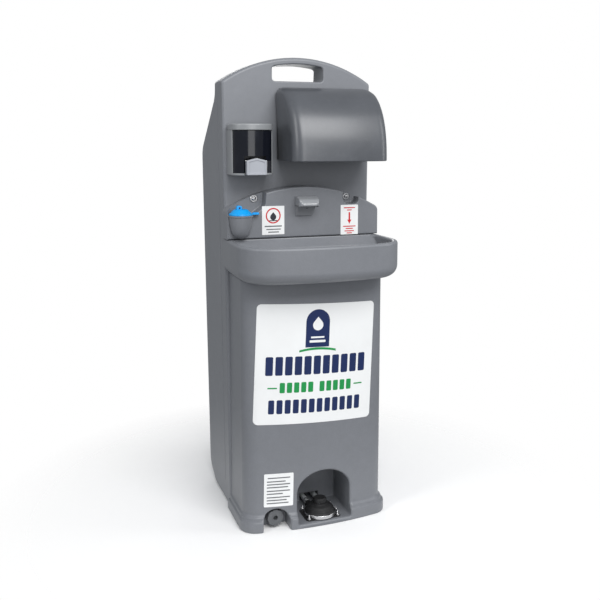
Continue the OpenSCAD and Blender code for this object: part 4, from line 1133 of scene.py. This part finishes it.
HOOD_R = 36
HOOD_POWER = 2.3
HOOD_HALF, HOOD_DEPTH = 150, 192
HOOD_BOW = 8
HOOD_WALL = 3
HOOD_ROUND = 24
HINGE = (0, -18, 1304)
LOCK = (0, -66, 1140)


def hood_rings(inset, rounding):
    """Level outlines of the towel cover, from its lowest edge to its crown."""
    half, depth = HOOD_HALF - inset, HOOD_DEPTH - inset
    height = HOOD.z1 - HOOD.z0 - inset
    rings = []
    levels = [0, 0.7, 2, 4, 8, 20, 40, 60, 80, 100, 118, 134, 148, 160, 170, 178, 185, 191, 196, 200.5,
              204.5, 208, 211, 213.5, 215.5, 217.2, 218.6, 219.4, 219.9]
    for level_z in levels:
        z = height * level_z / 220
        front = depth * max(0.0, 1 - (z / height) ** HOOD_POWER) ** (1 / HOOD_POWER)
        edge = 0
        if z > height - rounding:
            edge = rounding - math.sqrt(max(0, rounding ** 2 - (z - height + rounding) ** 2))
        if z < 2:
            edge = 2 - math.sqrt(max(0, 4 - (z - 2) ** 2))
        front = max(front - (edge if z < 2 else 0), 14)
        r = min(HOOD_R - inset, front * 0.45)
        rings.append([(HOOD.x + a, b, HOOD.z0 + z)
                      for a, b in plan(half - edge, front, HOOD_BOW * front / HOOD_DEPTH, r)])
    return rings


def towel_cover():
    z0 = HOOD.z0
    cover = loft("towel_hood", hood_rings(0, HOOD_ROUND))
    hollow = loft("hood_inside", [[(x, y + (60 if y > -1 else 0), z - 0.01) for x, y, z in ring]
                                  for ring in hood_rings(HOOD_WALL, HOOD_ROUND - HOOD_WALL)])
    combine(cover, hollow)
    combine(cover, block("open_foot", (HOOD.x0 + 3, -172, z0 - 2), (HOOD.x1 - 3, 2, z0 + 1), 0))
    lugs = [block("lug", (x, -23, 1299), (x + 8, -13, HOOD.z1 - 3.4), 0)
            for x in (HOOD.x0 + 14, HOOD.x1 - 23)]
    fuse(cover, *lugs)
    cut = [(-45, z0 - 10), (-9, z0 + 200), (-9, z0 + 230), (40, z0 + 230), (40, z0 - 10)]
    combine(cover, prism("rear_cut", cut, "x", HOOD.x0 - 4, HOOD.x1 + 4),
            rod("pin_hole", HINGE, "x", 2.05, HOOD.x0 + 10, HOOD.x1 - 10, steps=24),
            rod("lock_hole", LOCK, "x", 8.05, HOOD.x1 - 10, HOOD.x1 + 10, steps=48))
    show(cover, "towel_cover", HOOD_GLOSS, slot_of("towel_cover"), "towel_cover", sharp=48)
    shape = [(0, 1.2), (6.6, 1.3), (7.6, 1), (8, 0.3), (8, -5.4), (3, -5.4), (3, -13), (0, -13)]
    barrel = lathe("lock_barrel", [(r, HOOD.x1 + h) for r, h in shape], LOCK, "x", 48)
    combine(barrel, block("key_slot", (HOOD.x1 + 0.3, -67, 1135), (HOOD.x1 + 3, -65, 1145), 0))
    cam = prism("cam", rounded([(-70, 1136, 3), (-50, 1136, 3), (-50, 1144, 3), (-70, 1144, 3)], 5), "x",
                HOOD.x1 - 13, HOOD.x1 - 9.5)
    fuse(barrel, cam)
    show(barrel, "lock", STEEL, slot_of("cover_lock"), "cover_lock")


def towel_roll():
    """The roll, wound in layers that stand slightly proud of each other."""
    inner, outer, layers, x0, x1 = 20.5, 64, 30, -24, 176
    face = [(inner + (outer - inner) * i / layers, 0.35 if i % 2 else 0.0) for i in range(layers + 1)]
    profile = [(r, x0 + d) for r, d in face] + [(r, x1 - d) for r, d in reversed(face)]
    roll = lathe("paper_roll", profile, (0, -86, 1196), "x", 96)
    show(roll, "roll", PAPER, slot_of("towel_roll"), "towel_roll", sharp=60)


# ---------- soap dispenser ----------

SOAP_X = -164
PIN_Y = -12.5


def soap_outline(half, depth):
    side = 60
    points = [(half, 0), (half, -side)]
    points += [(half * math.cos(t), -side - (depth - side) * math.sin(t))
               for t in (math.pi * i / 36 for i in range(1, 36))]
    points += [(-half, -side), (-half, 0)]
    return [(SOAP_X + a, b) for a, b in reversed(points)]


def rounded_stack(name, outline, z0, z1, low, high, steps=5):
    """An upright block over an outline, with its lower and upper edges rounded."""
    rings = []
    if low:
        rings += [(z0 + low * (1 - math.cos(t)), -low * (1 - math.sin(t)))
                  for t in (math.pi / 2 * i / steps for i in range(steps + 1))]
    else:
        rings.append((z0, 0))
    if high:
        rings += [(z1 - high + high * math.sin(t), -high * (1 - math.cos(t)))
                  for t in (math.pi / 2 * i / steps for i in range(steps + 1))]
    else:
        rings.append((z1, 0))
    return loft(name, [[(x, y, z) for x, y in hugging(outline, g)] for z, g in rings])


def soap_dispenser():
    x, z0, top = SOAP_X, SOAP.z0, SOAP.z0 + 132
    back = rounded_stack("soap_frame", soap_outline(62, 102), z0, top, 3, 0)
    inner = prism("room", spread(soap_outline(62, 102), -2.5), "z", z0 + 5, top + 5)
    combine(inner, block("keep_back", (x - 70, -4, z0), (x + 70, 2, top + 9), 0))
    combine(back, inner, block("front", (x - 63, -120, z0 + 7), (x + 63, -62, top + 60), 0),
            block("lever_way", (x - 33, -120, z0 - 1), (x + 33, -68, z0 + 20), 0))
    for dx in (-54, 48):
        fuse(back, block("lid_lug", (x + dx, PIN_Y - 4, top - 1), (x + dx + 6, PIN_Y + 4, top + 8), 0),
             block("lid_lug_foot", (x + dx, PIN_Y - 4, top - 1), (x + dx + 6, -0.2, top + 4), 0),
             rod("lid_lug_eye", (0, PIN_Y, top + 8), "x", 5, x + dx, x + dx + 6, 0.5, steps=32))
    holes = [rod("screw_hole", (x, 0, z0 + h), "y", 2.6, -6, 1, steps=24) for h in (35, 105)]
    holes.append(rod("lid_pin_hole", (0, PIN_Y, top + 8), "x", 2.05, x - 60, x + 60, steps=24))
    combine(back, *holes)
    show(back, "root", SOAP_GREY, slot_of("soap_back"), "soap_back")
    tank = rounded_stack("soap_window", soap_outline(59, 99), z0 + 5.2, top - 0.4, 1.2, 1)
    combine(tank, block("tank_notch", (x - 33, -120, z0 - 5), (x + 33, -68, z0 + 57), 0),
            block("tank_back", (x - 70, -4.8, z0), (x + 70, 2, top + 5), 0))
    show(tank, "root", SMOKED, slot_of("soap_tank"), "soap_tank")
    lid = rounded_stack("soap_cap", soap_outline(62, 104), top + 0.5, top + 18.5, 1.2, 4.5)
    inside = prism("lid_room", spread(soap_outline(62, 104), -2.5), "z", top - 1, top + 16)
    combine(lid, inside, block("lid_rear", (x - 63, -2.5, top - 1), (x + 63, 2, top + 30), 0),
            block("lid_rear_low", (x - 63, PIN_Y, top - 1), (x + 63, 2, top + 8), 0))
    fuse(lid, *[block("lid_ear", (x + dx, PIN_Y - 4, top + 4), (x + dx + 5, PIN_Y + 4, top + 16.6), 0)
                for dx in (-46, 41)])
    rear = block("rear_corner", (x - 63, PIN_Y, top + 8), (x + 63, 3, top + 30), 0)
    combine(rear, rod("knuckle", (0, PIN_Y, top + 8), "x", 7.7, x - 64, x + 64, steps=64))
    combine(lid, rear, rod("lid_pin_hole", (0, PIN_Y, top + 8), "x", 2.05, x - 58, x + 58, steps=24))
    show(lid, "soap_lid", SOAP_GREY, slot_of("soap_lid"), "soap_lid")
    soap_lever()


def soap_lever():
    x, z0 = SOAP_X, SOAP.z0
    front, top = -112, z0 + 51
    shape = rounded([(x - 30, z0 + 2, 3), (x + 30, z0 + 2, 3), (x + 30, top - 7, 2), (x, top, 0),
                     (x - 30, top - 7, 2)], 4)
    lever = prism("soap_lever_plate", shape, "y", front, -96)
    round_edges(lever, 1.6, 3, lambda a, b, c: b < front + 1)
    inset = rounded([(x - 24, z0 + 8, 2), (x + 24, z0 + 8, 2), (x + 24, top - 12, 1.5), (x, top - 6, 0),
                     (x - 24, top - 12, 1.5)], 4)
    combine(lever, recess("lever_panel", inset, level(front + 1.8), level(front), lip=0.9, toe=0.6, reach=6))
    combine(lever, block("lever_hollow", (x - 27.5, -104, z0 + 4.5), (x + 27.5, -90, z0 + 39), 0),
            block("lever_slot", (x - 27.5, -104, z0 + 35), (x + 27.5, -90, z0 + 47), 0),
            rod("lever_pin_hole", (0, -101, z0 + 43), "x", 1.55, x - 33, x + 33, steps=24))
    show(lever, "soap_lever", LEVER_GREY, slot_of("soap_lever"), "soap_lever")
    coil = tube("soap_coil", coil_path((x, -83.7, z0 + 22), 4, 0.6, 4, 12, "y", 20), 0.6, 8)
    show(coil, "root", SPRING, "stainless", "piston_spring")
    x * MM
    (z0 + 22) * MM
    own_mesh(coil)


# ---------- the rest of the model, the room and the view ----------

def carried_over():
    """Finishes for the pieces that keep their own shape."""
    for node in frame["nodes"]:
        piece = bpy.data.objects.get(node)
        if piece is None or piece.type != "MESH":
            continue
        finish = FINISH_OF_SLOT[slot_of(node)]
        if not piece.material_slots:
            piece.data.materials.append(finish)
        for place in piece.material_slots:
            place.material = finish


def floor():
    size, steps = 2.0, 24
    bm = bmesh.new()
    bmesh.ops.create_grid(bm, x_segments=steps, y_segments=steps, size=size)
    mesh = bpy.data.meshes.new("studio_floor")
    bm.to_mesh(mesh)
    bm.free()
    ground = bpy.data.objects.new("studio_floor", mesh)
    ground.location = (0, 0, -0.0004)
    scene.collection.objects.link(ground)
    mesh.materials.append(floor_finish())


def softbox(name, at, aim, width, height, power):
    light = bpy.data.lights.new(name, "AREA")
    light.shape = "RECTANGLE"
    light.size, light.size_y = width, height
    light.energy = power
    lamp = bpy.data.objects.new(name, light)
    lamp.location = at
    lamp.rotation_euler = (Vector(aim) - Vector(at)).to_track_quat("-Z", "Y").to_euler()
    scene.collection.objects.link(lamp)


def room():
    world = bpy.data.worlds.new("white_room")
    scene.world = world
    world.use_nodes = True
    tree = world.node_tree
    surround = tree.nodes["Background"]
    surround.inputs["Color"].default_value = (0.93, 0.96, 1.0, 1)
    surround.inputs["Strength"].default_value = 0.36
    backdrop = tree.nodes.new("ShaderNodeBackground")
    backdrop.inputs["Color"].default_value = (1, 1, 1, 1)
    ray = tree.nodes.new("ShaderNodeLightPath")
    either = tree.nodes.new("ShaderNodeMixShader")
    tree.links.new(ray.outputs["Is Camera Ray"], either.inputs["Fac"])
    tree.links.new(surround.outputs["Background"], either.inputs[1])
    tree.links.new(backdrop.outputs["Background"], either.inputs[2])
    tree.links.new(either.outputs["Shader"], tree.nodes["World Output"].inputs["Surface"])
    softbox("key", (0.2, -2.6, 3.1), (0, 0, 1.1), 2.8, 1.8, 110)
    softbox("fill", (-0.2, -3.4, 1.3), (0, 0, 0.9), 1.6, 1.4, 18)
    softbox("side_left", (-2.4, -1.0, 2.3), (0, 0, 1.1), 0.6, 1.8, 20)
    softbox("behind", (0.7, 2.9, 1.5), (0, 0.2, 0.8), 1.6, 1.2, 20)
    softbox("right_side", (2.5, -1.0, 1.9), (0.1, 0, 1.0), 0.7, 2.0, 15)
    scene.view_settings.view_transform = "Standard"
    scene.view_settings.look = "None"


def camera():
    lens = bpy.data.cameras.new("camera")
    lens.sensor_width, lens.lens = 36, 47.17
    lens.shift_x, lens.shift_y = 0, -0.108
    lens.dof.use_dof = False
    lens.clip_end = 60
    eye = bpy.data.objects.new("camera", lens)
    eye.location = (-0.80, -2.304, 1.160)
    eye.rotation_euler = (math.radians(83), 0, math.radians(-19.295))
    scene.collection.objects.link(eye)
    scene.camera = eye


carried_over()
for make in (fresh_tank, waste_tank, bowl, strainer, backsplash, splash_fixings, tap, filler_cap,
             front_label, service_label, splash_labels, pump, pump_metal, drain, towel_cover,
             towel_roll, soap_dispenser, floor, room, camera):
    make()
